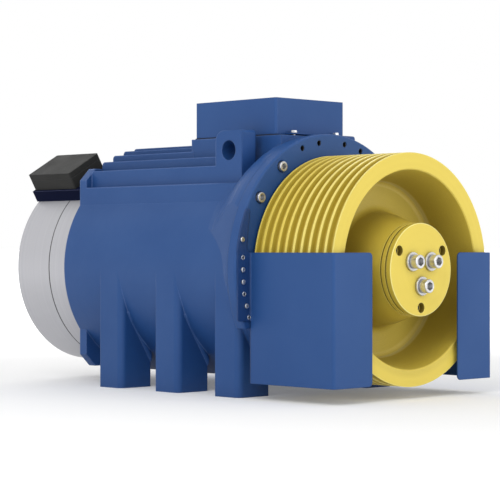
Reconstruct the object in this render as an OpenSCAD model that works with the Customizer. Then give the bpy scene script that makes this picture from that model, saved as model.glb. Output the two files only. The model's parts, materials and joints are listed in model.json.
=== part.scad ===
// Gearless elevator traction machine: a permanent-magnet motor in a ribbed cast
// housing on six feet, an overhung rope sheave in front and a two-circuit
// spring-applied disc brake behind. Millimetres. X runs along the shaft towards
// the sheave, Z is up, and the origin is the centre of the foot pattern on the floor.

/* [Machine] */
// Height of the shaft axis above the mounting surface
shaft_height = 225; // [214:1:250]
// Distance between neighbouring feet on one side
foot_pitch = 158; // [150:1:165]
// Length of one foot along the shaft
foot_length = 62.4; // [50:0.1:70]
// Width of one foot across the shaft
foot_width = 74.8; // [60:0.1:80]
// Radius of each foot's outer front corner
foot_corner_r = 12; // [6:0.5:18]
// Radius of the feet's other upright corners
foot_edge_r = 3; // [2:0.5:6]
// Tapping-size radius of the foot bolt holes
foot_hole_r = 8.75; // [7:0.05:10.5]
// Depth of the foot bolt holes
foot_hole_depth = 42; // [30:1:60]

/* [Housing casting] */
// Outer radius of the motor barrel
barrel_r = 204; // [202:0.5:208]
// Bore radius of the barrel, where the stator sits
barrel_bore_r = 188; // [187:0.1:189]
// From the middle foot back to the rear face
rear_reach = 295.6; // [290:0.1:300]
// From the middle foot forward to the bearing shield joint
front_reach = 201.4; // [198:0.1:204]
// Thickness of the rear end plate
end_plate_t = 19; // [14:0.5:22]
// Depth of the whole rear wall with its inner ring
rear_wall_t = 30; // [26:0.5:34]
// Half width of the end plate over its ears
ear_reach_y = 164.6; // [158:0.1:170]
// Half height of the end plate over its ears
ear_reach_z = 192; // [186:0.5:198]
// Inner edge of each ear
ear_inner_y = 124; // [115:1:135]
// Size of the chamfer on each ear
ear_chamfer = 23; // [15:1:28]
// Height of the side walls' top edge above the shaft axis
ledge_z = 154; // [148:1:160]
// Radius of the circle through the tips of the cooling ribs
rib_tip_r = 237; // [228:0.5:244]
// Thickness of a cooling rib
rib_t = 8; // [5:0.5:12]
// Distance from the centre plane to the outermost rib
rib_outer_y = 146; // [140:1:150]
// Spacing of the cooling ribs
rib_spacing = 27.2; // [22:0.1:28]
// Number of cooling ribs on each side
rib_count = 5; // [3:1:5]
// Step between the bearing shield's edge and the collar behind it
collar_step = 1; // [0.5:0.5:6]
// Length of the flared collar
collar_length = 105; // [85:1:115]
// Length of the collar's straight end
collar_land = 12; // [8:1:20]
// how far out the collar's flat flanks lie at the flange
collar_flank_y = 217.5; // [212:0.5:222]
// Radius of the short neck below the collar
neck_r = 222; // [210:0.5:228]

/* [Lifting lugs] */
// Distance of the lug's eye from the middle foot
lug_x = 107; // [95:1:120]
// Length of a lug along the shaft
lug_length = 68; // [60:1:80]
// Thickness of a lug
lug_t = 35; // [25:1:40]
// Height of the eye's centre above the shaft axis
lug_eye_z = 213.5; // [205:0.5:222]
// Radius of the eye
lug_eye_r = 17.8; // [12:0.1:20]
// Material above the eye
lug_rim = 18.5; // [14:0.5:24]
// Radius of the lug's rear upper corner
lug_rear_r = 20; // [8:1:28]
// Radius of the lug's front upper corner
lug_front_r = 6; // [2:1:28]

/* [Bearing shield] */
// Outer radius of the shield's flange
shield_r = 244; // [236:0.5:250]
// Thickness of the flange
shield_t = 20; // [16:0.5:24]
// Depth below the axis at which the wide flange stops
shield_cut_z = 102; // [90:1:115]
// Distance of the threaded holes and guard screws from the flange's edge
flange_hole_inset = 15.5; // [13:0.5:18]
// Distance of the fixing screws from the flange's edge
shield_screw_inset = 21; // [18:0.5:26]
// Radius of an open threaded hole in the flange
flange_thread_r = 5.1; // [3:0.05:6]
// Angle between neighbouring holes in the guard's row
guard_hole_step = 5.3; // [5:0.1:5.6]

/* [Sheave] */
// Outer diameter of the sheave over its ridges
sheave_d = 408; // [396:1:410]
// Number of rope grooves
groove_count = 10; // [6:1:10]
// Distance between neighbouring grooves
groove_pitch = 18.5; // [17:0.1:18.5]
// Diameter of the hoist rope
rope_d = 10; // [8:0.5:11]
// Clear space between the bearing shield and the sheave
sheave_gap = 5; // [4:0.5:8]
// Inner radius of the rim at its front edge
rim_inner_r = 173.7; // [168:0.1:178]
// Depth of the front recess down to the web
recess_depth = 66; // [50:1:80]
// Thickness of the web
web_t = 30; // [20:1:40]
// Radius of the hub at its front end
hub_r = 81.2; // [74:0.1:90]
// How far the end plate stands in front of the rim
hub_proud = 20.6; // [14:0.1:26]
// Thickness of the end plate
end_cap_t = 11; // [8:0.5:14]
// Radius of the circle of open extraction holes
extraction_pcr = 66; // [62:0.5:68]
// Radius of an extraction hole
extraction_hole_r = 9; // [6:0.5:10]
// Radius of the circle of shaft end screws
end_screw_pcr = 28.3; // [26:0.1:32]

/* [Rope guards] */
// Clear space between the sheave and a guard's side plate
guard_gap = 3; // [2:0.1:6]
// Thickness of the guard's sheet
guard_t = 2.5; // [2:0.1:4]
// Height of the guards' top edge above the shaft axis
guard_top_z = 29.8; // [20:0.1:40]
// Depth of the guards' bottom edge below the shaft axis
guard_bottom_z = 197.4; // [180:0.1:205]
// Inner edge of the guards' front flange, from the centre plane
guard_inner_y = 114; // [105:1:125]
// Clear space between the sheave's front face and the guard
guard_front_gap = 6.9; // [4:0.1:10]
// Distance of the guards' mounting flange from the shield's edge
guard_flange_inset = 4; // [1:0.5:8]
// Depth of the mounting flange's lower end below the shaft axis
guard_flange_z = 89; // [86:0.5:98]
// height of the top of the flange's tongue over the shaft
guard_tongue_z = 105; // [90:1:120]
// Radius of the front flange's free corners
guard_corner_r = 8; // [4:0.5:15]
// Inner radius of the guards' bends
guard_bend_r = 3; // [2:0.5:8]

/* [Shaft and bearings] */
// Shaft radius in the sheave
shaft_sheave_r = 42.5; // [38:0.5:46]
// Shaft radius in the front bearing
shaft_front_r = 50; // [47:0.5:52]
// Shaft radius in the rotor
shaft_rotor_r = 60; // [56:0.5:64]
// Shaft radius in the rear bearing
shaft_rear_r = 37.5; // [34:0.5:40]
// Shaft radius in the brake hub
shaft_brake_r = 30; // [26:0.5:33]
// Outer radius of the front bearing
front_brg_r = 90; // [86:0.5:95]
// Width of the front bearing
front_brg_w = 34; // [30:0.5:38]
// Number of rollers in the front bearing
roller_count = 16; // [10:1:16]
// Radius of a roller
roller_r = 10; // [8:0.25:10.5]
// Outer radius of the rear bearing
rear_brg_r = 65; // [62:0.5:70]
// Width of the rear bearing
rear_brg_w = 25; // [22:0.5:28]
// Number of balls in the rear bearing
ball_count = 11; // [7:1:11]
// Radius of a ball
ball_r = 8.7; // [7:0.1:9]

/* [Motor] */
// Length of the stator and rotor stacks
stack_length = 230; // [180:1:240]
// Distance from the middle foot to the stacks' centre
stack_x = -20; // [-30:1:-10]
// Inner radius of the stator
stator_inner_r = 160; // [158:0.1:163]
// Radial gap between stator and magnets
air_gap = 1.2; // [0.8:0.1:2]
// Thickness of a magnet
magnet_t = 6; // [4:0.5:9]
// Number of magnet poles
pole_count = 20; // [10:2:24]
// Number of stator slots
slot_count = 24; // [12:3:24]
// Depth of a slot
slot_depth = 17; // [12:0.5:19]
// Radial thickness of the rotor's laminated ring
rotor_ring_t = 18; // [12:0.5:24]

/* [Brake] */
// Outer radius of the brake
brake_r = 190; // [186:0.5:192]
// Length of the brake's front ring
brake_ring_length = 64.8; // [60:0.1:72]
// Length of the magnet body
magnet_body_length = 102.1; // [90:0.1:115]
// Wall thickness of the front ring
brake_wall = 22; // [20:0.5:24]
// Thickness of the ring's friction wall
friction_wall_t = 15.4; // [12:0.1:18]
// Thickness of a friction lining
lining_t = 6.9; // [5:0.1:9]
// Thickness of the friction disc
disc_t = 10; // [8:0.5:12]
// Travel of an armature plate when the brake opens
brake_stroke = 0.45; // [0.3:0.05:0.8]
// Outer radius of the armature plates
armature_r = 164; // [155:0.5:167]
// Inner radius of the armature plates
armature_inner_r = 62; // [58:0.5:70]
// Number of springs behind each armature plate
spring_count = 5; // [3:1:6]
// Radius of a brake spring
spring_r = 9; // [6:0.5:9.5]
// Number of brake mounting screws
brake_screw_count = 8; // [6:1:12]

/* [Terminal box] */
// Length of the terminal box
tbox_length = 212.8; // [190:0.1:215]
// Width of the terminal box
tbox_width = 180; // [160:1:188]
// Height of the terminal box
tbox_height = 68; // [50:0.5:80]
// Height of its mounting pad above the shaft axis
pad_z = 241; // [239:0.5:243]
// Wall thickness of the hood
tbox_wall = 3; // [2:0.5:5]
// Radius of the hood's upright corners
tbox_corner_r = 5; // [3:0.5:10]
// Distance from the middle foot to the hood's front face
tbox_front_x = 167.7; // [165:0.1:170]

/* [Brake terminal box] */
// Direction of the small box, measured from the +Y side upwards
bbox_angle = 120; // [110:1:128]
// Length of the small box along the shaft
bbox_length = 129; // [110:1:132]
// Width of the small box
bbox_width = 85; // [70:1:88]
// Height of the small box
bbox_height = 35; // [28:0.5:44]
// Clear height of the bracket's top over the brake
bracket_rise = 16; // [12:0.5:20]
// Overhang of the bracket beyond the box at each side
bracket_lip = 4; // [3:0.5:8]
// Thickness of the bracket's sheet
bracket_t = 3; // [2:0.5:4]

/* [Hidden] */
$fn = 72;

seat_gap = 0.05;      // between pieces that are pressed, screwed or keyed together
roll_gap = 0.1;       // between rolling elements and their races
brake_gap = 0.1;      // between the friction linings and the faces they grip
pin_gap = 0.1;        // around a sliding pin
run_gap = 0.1;        // between the turning shaft and a fixed bore
eps = 0.5;            // overshoot of cuts

// stations along the shaft
rear_x = -rear_reach;
front_x = front_reach;
shield_face_x = front_x + shield_t;
sheave_rear_x = shield_face_x + sheave_gap;
sheave_width = groove_count * groove_pitch;
sheave_front_x = sheave_rear_x + sheave_width;
cap_face_x = sheave_front_x + hub_proud;
hub_front_x = cap_face_x - end_cap_t;
web_front_x = sheave_front_x - recess_depth;
web_rear_x = web_front_x - web_t;

boss_front_x = shield_face_x + 28.6;
front_brg_x1 = boss_front_x - 2;
front_brg_x0 = front_brg_x1 - front_brg_w;
spacer_length = 14;
hub_rear_x = front_brg_x1 + spacer_length;
rear_brg_x0 = rear_x + 33.6;
rear_brg_x1 = rear_brg_x0 + rear_brg_w;
brake_seam_x = rear_x - brake_ring_length;
brake_rear_x = brake_seam_x - magnet_body_length;
friction_face_x = rear_x - friction_wall_t;
stack_t = disc_t + 2 * lining_t;
friction_disc_x = friction_face_x - brake_gap - stack_t / 2;
armature_front_x = friction_disc_x - stack_t / 2 - brake_gap;
armature_rear_x = brake_seam_x + brake_stroke + brake_gap / 2;
brake_hub_x0 = friction_disc_x - disc_t / 2 - 11;
brake_hub_x1 = friction_disc_x + disc_t / 2 + 9;
encoder_recess_depth = 46;
encoder_x0 = brake_rear_x + 6;
encoder_x1 = brake_rear_x + encoder_recess_depth;

collar_r = shield_r - collar_step;
flange_hole_pcr = shield_r - flange_hole_inset;
shield_screw_pcr = shield_r - shield_screw_inset;
shield_low_pcr = (barrel_r + barrel_bore_r) / 2;
guard_flange_y = shield_r - guard_flange_inset;
bbox_seat_r = brake_r + bracket_rise;
cut_reach = 1.5 * shield_r;      // reach of the blocks that cut one side away

sheave_r = sheave_d / 2;
foot_y = barrel_r - foot_width / 2;

// colours
blue = [0.21, 0.34, 0.58];
yellow = [0.90, 0.78, 0.28];
grey = [0.76, 0.76, 0.78];
dark = [0.20, 0.20, 0.19];
zinc = [0.80, 0.80, 0.76];
steel = [0.55, 0.56, 0.58];
copper = [0.72, 0.43, 0.22];

// ---------- helpers ----------

// points along an arc
function arc(cx, cy, r, a0, a1, n) =
    [for (i = [0:n]) let (a = a0 + (a1 - a0) * i / n) [cx + r * cos(a), cy + r * sin(a)]];

// a place on the shaft axis: x and y of the child become Y and Z, its z becomes X
module on_shaft(x = 0) translate([x, 0, shaft_height]) rotate([90, 0, 90]) children();

// a body of revolution about the shaft, its outline given as [radius, x]
module revolve(outline) on_shaft() rotate_extrude() polygon(outline);

// a plain ring about the shaft, from one x to another
module ring(ro, ri, x0, x1)
    on_shaft(x0) difference() {
        cylinder(r = ro, h = x1 - x0);
        translate([0, 0, -eps]) cylinder(r = ri, h = x1 - x0 + 2 * eps);
    }

// copies at given angles on a circle about the shaft, child z along X
module at_angles(angles, r, x) for (a = angles) on_shaft(x) rotate(a) translate([r, 0]) children();

// copies on both sides of the centre plane
module both_sides() for (side = [0, 1]) mirror([0, side, 0]) children();

// a rectangle with round corners, kept as true arcs
module round_rect(w, d, r) {
    square([w - 2 * r, d], center = true);
    square([w, d - 2 * r], center = true);
    for (i = [-1, 1], j = [-1, 1]) translate([i * (w / 2 - r), j * (d / 2 - r)]) circle(r);
}

// a hexagon by its width across flats
module hexagon(width) circle(r = width / sqrt(3), $fn = 6);

// a socket head cap screw: its seat at z = 0, the head above and the shank below
module cap_screw(shank_r, length, head_r, head_h, key) {
    difference() {
        cylinder(r = head_r, h = head_h);
        translate([0, 0, head_h * 0.45]) linear_extrude(head_h) hexagon(key);
    }
    translate([0, 0, -length]) cylinder(r = shank_r, h = length);
}

// a button head screw
module button_screw(shank_r, length) {
    cylinder(r = 1.8 * shank_r, h = 0.6 * shank_r);
    translate([0, 0, 0.6 * shank_r]) cylinder(r1 = 1.8 * shank_r, r2 = 1.2 * shank_r, h = 0.6 * shank_r);
    translate([0, 0, -length]) cylinder(r = shank_r, h = length);
}

// a hexagon head screw with its washer
module hex_screw(shank_r, length) {
    cylinder(r = 2.05 * shank_r, h = 0.3 * shank_r);
    translate([0, 0, 0.3 * shank_r]) linear_extrude(1.3 * shank_r) hexagon(3.3 * shank_r);
    translate([0, 0, -length]) cylinder(r = shank_r, h = length);
}

// ---------- housing ----------

foot_stations = [-foot_pitch, 0, foot_pitch];
top_hole_angles = [90 - 19.7, 90 - 8.5, 90 + 8.5, 90 + 19.7];
collar_screw_angles = [90 - 55.7, 90 - 35.6, 90 + 35.6, 90 + 55.7];
low_screw_angles = [-25, -60, -120, -155];
shield_screw_r = 6;
shield_screw_length = 34;
shield_thread_depth = 28;
shield_head_sink = 5;      // counterbore of the upper screws
low_head_sink = 12;        // counterbore of the lower screws
shield_screw_head_r = 9;
shield_screw_head_h = 11;
edge_screw_r = 2.5;
edge_screw_pcr = shield_r - 8;
edge_screw_angle = 12.8;
edge_screw_grip = 12;
spigot_length = 11;
spigot_wall = 14;

// the end plate's outline: a circle with four chamfered ears
module end_plate_shape() {
    circle(r = barrel_r, $fn = 120);
    for (i = [-1, 1], j = [-1, 1]) scale([i, j]) polygon([
        [ear_inner_y, 0], [ear_inner_y, ear_reach_z], [ear_reach_y - ear_chamfer, ear_reach_z],
        [ear_reach_y, ear_reach_z - ear_chamfer], [ear_reach_y, 0]]);
}

// the collar's outline as [radius, x]: a soft S from the barrel up to its own radius
function flare(r0, r1, x0, x1, steps) = concat([[r0 - eps, x0]],
    [for (i = [0:steps]) let (t = i / steps)
        [r0 + (r1 - r0) * (1 - cos(180 * t)) / 2, x0 + (x1 - collar_land - x0) * t]],
    [[r1, x1], [r0 - eps, x1]]);

module collar() {
    // the upper half thins out at both flanks, level with the barrel where the neck begins
    flank_root_y = 2 * barrel_r - collar_flank_y;
    intersection() {
        revolve(flare(barrel_r, collar_r, front_x - collar_length, front_x, 8));
        translate([0, 0, shaft_height]) linear_extrude(cut_reach) polygon([
            [front_x, collar_flank_y], [front_x - collar_length, flank_root_y],
            [front_x - collar_length, -flank_root_y], [front_x, -collar_flank_y]]);
    }
    // the neck stays clear of the floor
    intersection() {
        revolve(flare(barrel_r, neck_r, front_x - collar_length / 2, front_x, 4));
        translate([0, -cut_reach, shaft_height - barrel_r]) cube([front_x, 2 * cut_reach, 2 * cut_reach]);
    }
}

module ribs() {
    end_x = tbox_front_x - tbox_length;
    for (i = [0:rib_count - 1]) {
        y = rib_outer_y - i * rib_spacing;
        tip = sqrt(pow(rib_tip_r, 2) - pow(y, 2));
        stop = y > tbox_width / 2 + 5 ? lug_x : end_x;
        both_sides() translate([0, y + rib_t / 2, shaft_height]) rotate([90, 0, 0])
            linear_extrude(rib_t) polygon(concat([[rear_x + end_plate_t - 1, 0], [stop, 0],
                [stop, tip]], arc(rear_x + end_plate_t + 6, tip - 7, 7, 90, 180, 5)));
    }
}

// takes a square corner at [0, 0] down to a radius; the corner points to +x and +y
module corner_cut(r) difference() {
    translate([-r, -r]) square(r + eps);
    translate([-r, -r]) circle(r);
}

module foot(x) translate([x, foot_y, 0]) linear_extrude(shaft_height) difference() {
    round_rect(foot_length, foot_width, foot_edge_r);
    translate([foot_length / 2, foot_width / 2]) corner_cut(foot_corner_r);
}

// the soft slanting rib that runs down the front face of the rear and middle feet
foot_rib_r = 8;
foot_rib_proud = 3;
foot_rib_low = [barrel_r - foot_width - 4, 50];
foot_rib_top = [barrel_r - 20, shaft_height - sqrt(pow(barrel_r, 2) - pow(barrel_r - 20, 2)) + foot_rib_r];
module foot_rib(x) {
    run = foot_rib_top - foot_rib_low;
    intersection() {
        translate([x + foot_length / 2 + foot_rib_proud - foot_rib_r, foot_rib_low[0], foot_rib_low[1]])
            rotate([-atan2(run[0], run[1]), 0, 0]) cylinder(r = foot_rib_r, h = norm(run));
        translate([x, barrel_r - foot_width, 0]) cube([foot_length, foot_width, shaft_height]);
    }
}

// a lug's outer face lies level with the outermost rib
lug_outer_y = rib_outer_y + rib_t / 2;
lug_top_z = lug_eye_z + lug_eye_r + lug_rim;
lug_root_z = 100;

module lug() translate([lug_x, lug_outer_y, shaft_height]) rotate([90, 0, 0]) linear_extrude(lug_t)
    difference() {
        translate([-lug_length / 2, lug_root_z]) square([lug_length, lug_top_z - lug_root_z]);
        translate([lug_length / 2, lug_top_z]) corner_cut(lug_front_r);
        translate([-lug_length / 2, lug_top_z]) mirror([1, 0]) corner_cut(lug_rear_r);
    }

pad_edge = 5;
pad_root_z = 150;

module terminal_pad() {
    pad_front = tbox_screw_x + tab_edge + 1;
    pad_rear = tbox_front_x - tbox_length - pad_edge;
    translate([pad_rear, -tbox_width / 2 - pad_edge, shaft_height + pad_root_z])
        cube([pad_front - pad_rear, tbox_width + 2 * pad_edge, pad_z - pad_root_z]);
}

// side walls that square the barrel off below the ribs
module side_walls() {
    end_x = front_x - collar_land;
    translate([rear_x, -ear_reach_y, shaft_height])
        cube([end_x - rear_x, 2 * ear_reach_y, ledge_z]);
}

rear_seat_r = 165;
rear_spigot_r = 140;
rear_flange_t = 12;
rear_screw_pcr = 153;
rear_screw_r = 5;
rear_screw_length = 16;
rear_head_r = 8;
rear_head_sink = 8.5;
rear_screw_angles = [for (i = [0:7]) 45 * i + 22.5];
brake_screw_r = 5;
brake_screw_pcr = brake_r - brake_wall / 2;
brake_screw_grip = 14;
brake_head_r = 8;
brake_head_sink = 11;
tapped_extra = 3;

module stator_housing() color(blue) difference() {
    union() {
        on_shaft(rear_x) cylinder(r = barrel_r, h = front_x - rear_x, $fn = 120);
        on_shaft(rear_x) linear_extrude(end_plate_t) end_plate_shape();
        side_walls();
        ribs();
        collar();
        terminal_pad();
        both_sides() lug();
        both_sides() for (x = foot_stations) foot(x);
        both_sides() for (x = [-foot_pitch, 0]) foot_rib(x);
    }
    // stator bore, rear opening and the rear shield's recess
    on_shaft(rear_x + rear_wall_t) cylinder(r = barrel_bore_r, h = front_x - rear_x);
    on_shaft(rear_x - eps) cylinder(r = rear_spigot_r, h = rear_wall_t + 2 * eps);
    on_shaft(rear_x - eps) cylinder(r = rear_seat_r, h = rear_flange_t + eps);
    // threads for the rear shield and the brake
    at_angles(rear_screw_angles, rear_screw_pcr, rear_x + rear_flange_t - eps)
        cylinder(r = rear_screw_r + seat_gap, h = rear_wall_t);
    at_angles(brake_screw_angles, brake_screw_pcr, rear_x - eps)
        cylinder(r = brake_screw_r + seat_gap, h = brake_screw_grip + tapped_extra + eps);
    // threads for the bearing shield
    at_angles(collar_screw_angles, shield_screw_pcr, front_x - shield_thread_depth)
        cylinder(r = shield_screw_r + seat_gap, h = shield_thread_depth + eps);
    at_angles(low_screw_angles, shield_low_pcr, front_x - shield_thread_depth)
        cylinder(r = shield_screw_r + seat_gap, h = shield_thread_depth + eps);
    // foot bolts, from below
    both_sides() for (x = foot_stations) translate([x, foot_y, -eps])
        cylinder(r = foot_hole_r, h = foot_hole_depth + eps);
    // lifting eyes
    both_sides() translate([lug_x, lug_outer_y + eps, shaft_height + lug_eye_z])
        rotate([90, 0, 0]) cylinder(r = lug_eye_r, h = lug_t + 2 * eps);
    // lead opening under the terminal box and its screws
    translate([stack_x + stack_length / 2 + coil_end + 2, -lead_hole[1] / 2, shaft_height + pad_root_z])
        cube([lead_hole[0], lead_hole[1], pad_z]);
    both_sides() translate([tbox_screw_x, tbox_screw_y, shaft_height + pad_z - tbox_thread_depth])
        cylinder(r = tbox_screw_r + seat_gap, h = tbox_thread_depth + eps);
    // threads for the small box's bracket
    at_angles(bracket_screw_angles, bracket_screw_pcr, rear_x - eps)
        cylinder(r = bracket_screw_r + seat_gap, h = bracket_screw_grip + tapped_extra + eps);
}
lead_hole = [32, 60];
brake_screw_angles = [for (i = [0:brake_screw_count - 1]) 360 / brake_screw_count * (i + 0.5)];

// ---------- bearing shields ----------

boss_r = front_brg_r + 35;
spacer_r = shaft_front_r + 8;
guard_row = [for (i = [-1:4]) guard_hole_step * i];
guard_screw_rows = [0, guard_hole_step, 3 * guard_hole_step];
guard_screw_r = 2.5;
guard_screw_grip = 14;
cover_screw_r = 4;
cover_screw_pcr = front_brg_r + 18;
cover_screw_grip = 14;
cover_t = 7;
bearing_cover_angles = [for (i = [0:5]) 60 * i + 30];

shield_edge_r = 4;
passage_r = front_brg_r - 10;

module shield_shape(r) intersection() {
    circle(r = r, $fn = 120);
    translate([-r, -shield_cut_z]) square([2 * r, r + shield_cut_z]);
}

module front_bearing_shield() color(blue) difference() {
    union() {
        // wide flange with a chamfered front edge
        intersection() {
            revolve(concat([[0, front_x], [shield_r, front_x]],
                arc(shield_r - shield_edge_r, shield_face_x - shield_edge_r, shield_edge_r, 0, 90, 4),
                [[0, shield_face_x]]));
            on_shaft(front_x - eps) linear_extrude(shield_t + 2 * eps) shield_shape(shield_r + 1);
        }
        // narrower lower part, kept off the floor
        intersection() {
            on_shaft(front_x) cylinder(r = neck_r, h = shield_t);
            translate([0, -cut_reach, shaft_height - barrel_r]) cube([cut_reach, 2 * cut_reach, barrel_r]);
        }
        // spigot in the housing bore
        on_shaft(front_x - spigot_length) cylinder(r = barrel_bore_r - seat_gap, h = spigot_length + 1);
        // bearing boss inside the sheave
        revolve([[0, front_brg_x0 - 12], [front_brg_r + 22, front_brg_x0 - 12],
            [front_brg_r + 26, front_x], [boss_r + 14, front_x + 2], [boss_r + 14, shield_face_x],
            [boss_r + 3, shield_face_x + 8], [boss_r, shield_face_x + 16], [boss_r, boss_front_x],
            [0, boss_front_x]]);
    }
    // hollow of the spigot
    revolve([[front_brg_r + 34, front_x - spigot_length - eps],
        [barrel_bore_r - spigot_wall, front_x - spigot_length - eps],
        [barrel_bore_r - spigot_wall, front_x], [front_brg_r + 34, front_x]]);
    // bearing seat, shoulder and shaft passage
    on_shaft(front_brg_x0) cylinder(r = front_brg_r + seat_gap, h = front_brg_w + 20);
    on_shaft(front_x - spigot_length - eps)
        cylinder(r = passage_r, h = front_brg_x0 - front_x + spigot_length + 2 * eps);
    // fixing screws in their counterbores
    at_angles(collar_screw_angles, shield_screw_pcr, front_x - eps)
        cylinder(r = shield_screw_r + 0.5, h = shield_t + 2 * eps);
    at_angles(collar_screw_angles, shield_screw_pcr, shield_face_x - shield_head_sink)
        cylinder(r = shield_screw_head_r + 1.5, h = shield_head_sink + eps);
    at_angles(low_screw_angles, shield_low_pcr, front_x - spigot_length)
        cylinder(r = shield_screw_r + 0.5, h = shield_t + spigot_length + eps);
    at_angles(low_screw_angles, shield_low_pcr, shield_face_x - low_head_sink)
        cylinder(r = shield_screw_head_r + 1.5, h = low_head_sink + eps);
    // open threaded holes on top, and the guards' rows at both sides
    at_angles(top_hole_angles, flange_hole_pcr, front_x - eps)
        cylinder(r = flange_thread_r, h = shield_t + 2 * eps);
    both_sides() at_angles([for (a = guard_row) -a], flange_hole_pcr, front_x - eps)
        cylinder(r = guard_screw_r + seat_gap, h = shield_t + 2 * eps);
    both_sides() at_angles([edge_screw_angle], edge_screw_pcr, shield_face_x - edge_screw_grip)
        cylinder(r = edge_screw_r + seat_gap, h = edge_screw_grip + eps);
    at_angles(bearing_cover_angles, cover_screw_pcr, boss_front_x - cover_screw_grip - tapped_extra)
        cylinder(r = cover_screw_r + seat_gap, h = cover_screw_grip + tapped_extra + eps);
}

module shield_screws() color(zinc) {
    at_angles(collar_screw_angles, shield_screw_pcr, shield_face_x - shield_head_sink)
        cap_screw(shield_screw_r, shield_screw_length, shield_screw_head_r, shield_screw_head_h, 10);
    at_angles(low_screw_angles, shield_low_pcr, shield_face_x - low_head_sink)
        cap_screw(shield_screw_r, shield_screw_length, shield_screw_head_r, shield_screw_head_h, 10);
}

rear_boss_r = rear_brg_r + 20;

module rear_bearing_shield() color(blue) difference() {
    revolve([[rear_brg_r - 7, rear_x], [rear_seat_r - seat_gap, rear_x],
        [rear_seat_r - seat_gap, rear_x + rear_flange_t],
        [rear_spigot_r - seat_gap, rear_x + rear_flange_t],
        [rear_spigot_r - seat_gap, rear_x + rear_wall_t - 4], [rear_boss_r + 8, rear_x + rear_wall_t - 4],
        [rear_boss_r, rear_x + rear_wall_t + 4], [rear_boss_r, rear_brg_x1 + 3],
        [rear_brg_r + seat_gap, rear_brg_x1 + 3], [rear_brg_r + seat_gap, rear_brg_x0 - 1],
        [rear_brg_r - 7, rear_brg_x0 - 1]]);
    at_angles(rear_screw_angles, rear_screw_pcr, rear_x - eps) {
        cylinder(r = rear_screw_r + 0.5, h = rear_flange_t + 2 * eps);
        cylinder(r = rear_head_r + 1, h = rear_head_sink + eps);
    }
}

module rear_shield_screws() color(zinc)
    at_angles(rear_screw_angles, rear_screw_pcr, rear_x + rear_head_sink)
        mirror([0, 0, 1]) cap_screw(rear_screw_r, rear_screw_length, rear_head_r, rear_head_sink - 0.5, 8);

cover_rim_r = cover_screw_pcr + 9;
cover_front_x = boss_front_x + cover_t;

module front_bearing_cover() color(blue) difference() {
    revolve([[spacer_r + 1, boss_front_x + 1], [front_brg_r - 8, boss_front_x + 1],
        [front_brg_r - 8, front_brg_x1], [front_brg_r - 0.5, front_brg_x1],
        [front_brg_r - 0.5, boss_front_x], [cover_rim_r, boss_front_x],
        [cover_rim_r, cover_front_x - 1], [cover_rim_r - 1, cover_front_x],
        [spacer_r + 1, cover_front_x]]);
    at_angles(bearing_cover_angles, cover_screw_pcr, boss_front_x - eps)
        cylinder(r = cover_screw_r + 0.4, h = cover_t + 2 * eps);
}

module front_cover_screws() color(zinc)
    at_angles(bearing_cover_angles, cover_screw_pcr, cover_front_x)
        hex_screw(cover_screw_r, cover_t + cover_screw_grip);

// ---------- motor ----------

stack_x0 = stack_x - stack_length / 2;
stack_x1 = stack_x + stack_length / 2;
slot_step = 360 / slot_count;
slot_share = 0.5;
slot_tip = 3;
slot_width = slot_share * 2 * (stator_inner_r + slot_depth / 2) * sin(slot_step / 2);
slot_mouth = 4;
coil_clear = 0.6;
coil_end = 18;

module stator_core() color(steel) on_shaft(stack_x0) linear_extrude(stack_length)
    difference() {
        circle(r = barrel_bore_r - seat_gap, $fn = 120);
        circle(r = stator_inner_r, $fn = 120);
        for (i = [0:slot_count - 1]) rotate((i + 0.5) * slot_step) {
            translate([stator_inner_r + slot_tip, -slot_width / 2]) square([slot_depth, slot_width]);
            translate([stator_inner_r - 5, -slot_mouth / 2]) square([10, slot_mouth]);
        }
    }

// one coil round each tooth: two sides in the slots and the end turns
module coil() {
    side_t = slot_width / 2 - coil_clear;
    depth = slot_depth - 2 * coil_clear;
    base_r = stator_inner_r + slot_tip + coil_clear;
    for (s = [-1, 1]) rotate(s * slot_step / 2)
        translate([base_r, s > 0 ? -side_t - coil_clear : coil_clear])
            square([depth, side_t]);
}

module end_turn() {
    base_r = stator_inner_r + slot_tip + coil_clear;
    depth = slot_depth - 2 * coil_clear;
    intersection() {
        difference() {
            circle(base_r + depth);
            circle(base_r);
        }
        polygon([[0, 0], [2 * base_r, -2 * base_r * tan(slot_step / 2 - 0.3)],
            [2 * base_r, 2 * base_r * tan(slot_step / 2 - 0.3)]]);
    }
}

module stator_windings() color(copper) for (i = [0:slot_count - 1]) rotate_on_shaft(i * slot_step) {
    on_shaft(stack_x0 - 1) linear_extrude(stack_length + 2) coil();
    on_shaft(stack_x0 - 1 - coil_end) linear_extrude(coil_end) end_turn();
    on_shaft(stack_x1 + 1) linear_extrude(coil_end) end_turn();
}

// turns a piece about the shaft axis
module rotate_on_shaft(a) translate([0, 0, shaft_height]) rotate([a, 0, 0])
    translate([0, 0, -shaft_height]) children();

magnet_outer_r = stator_inner_r - air_gap;
magnet_inner_r = magnet_outer_r - magnet_t;
rotor_inner_r = magnet_inner_r - rotor_ring_t;
magnet_arc = 360 / pole_count * 0.84;
rotor_web_t = 26;
rotor_hub_wall = 22;
rotor_rim_wall = 12;
key_rotor = [20, 12];

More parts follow.
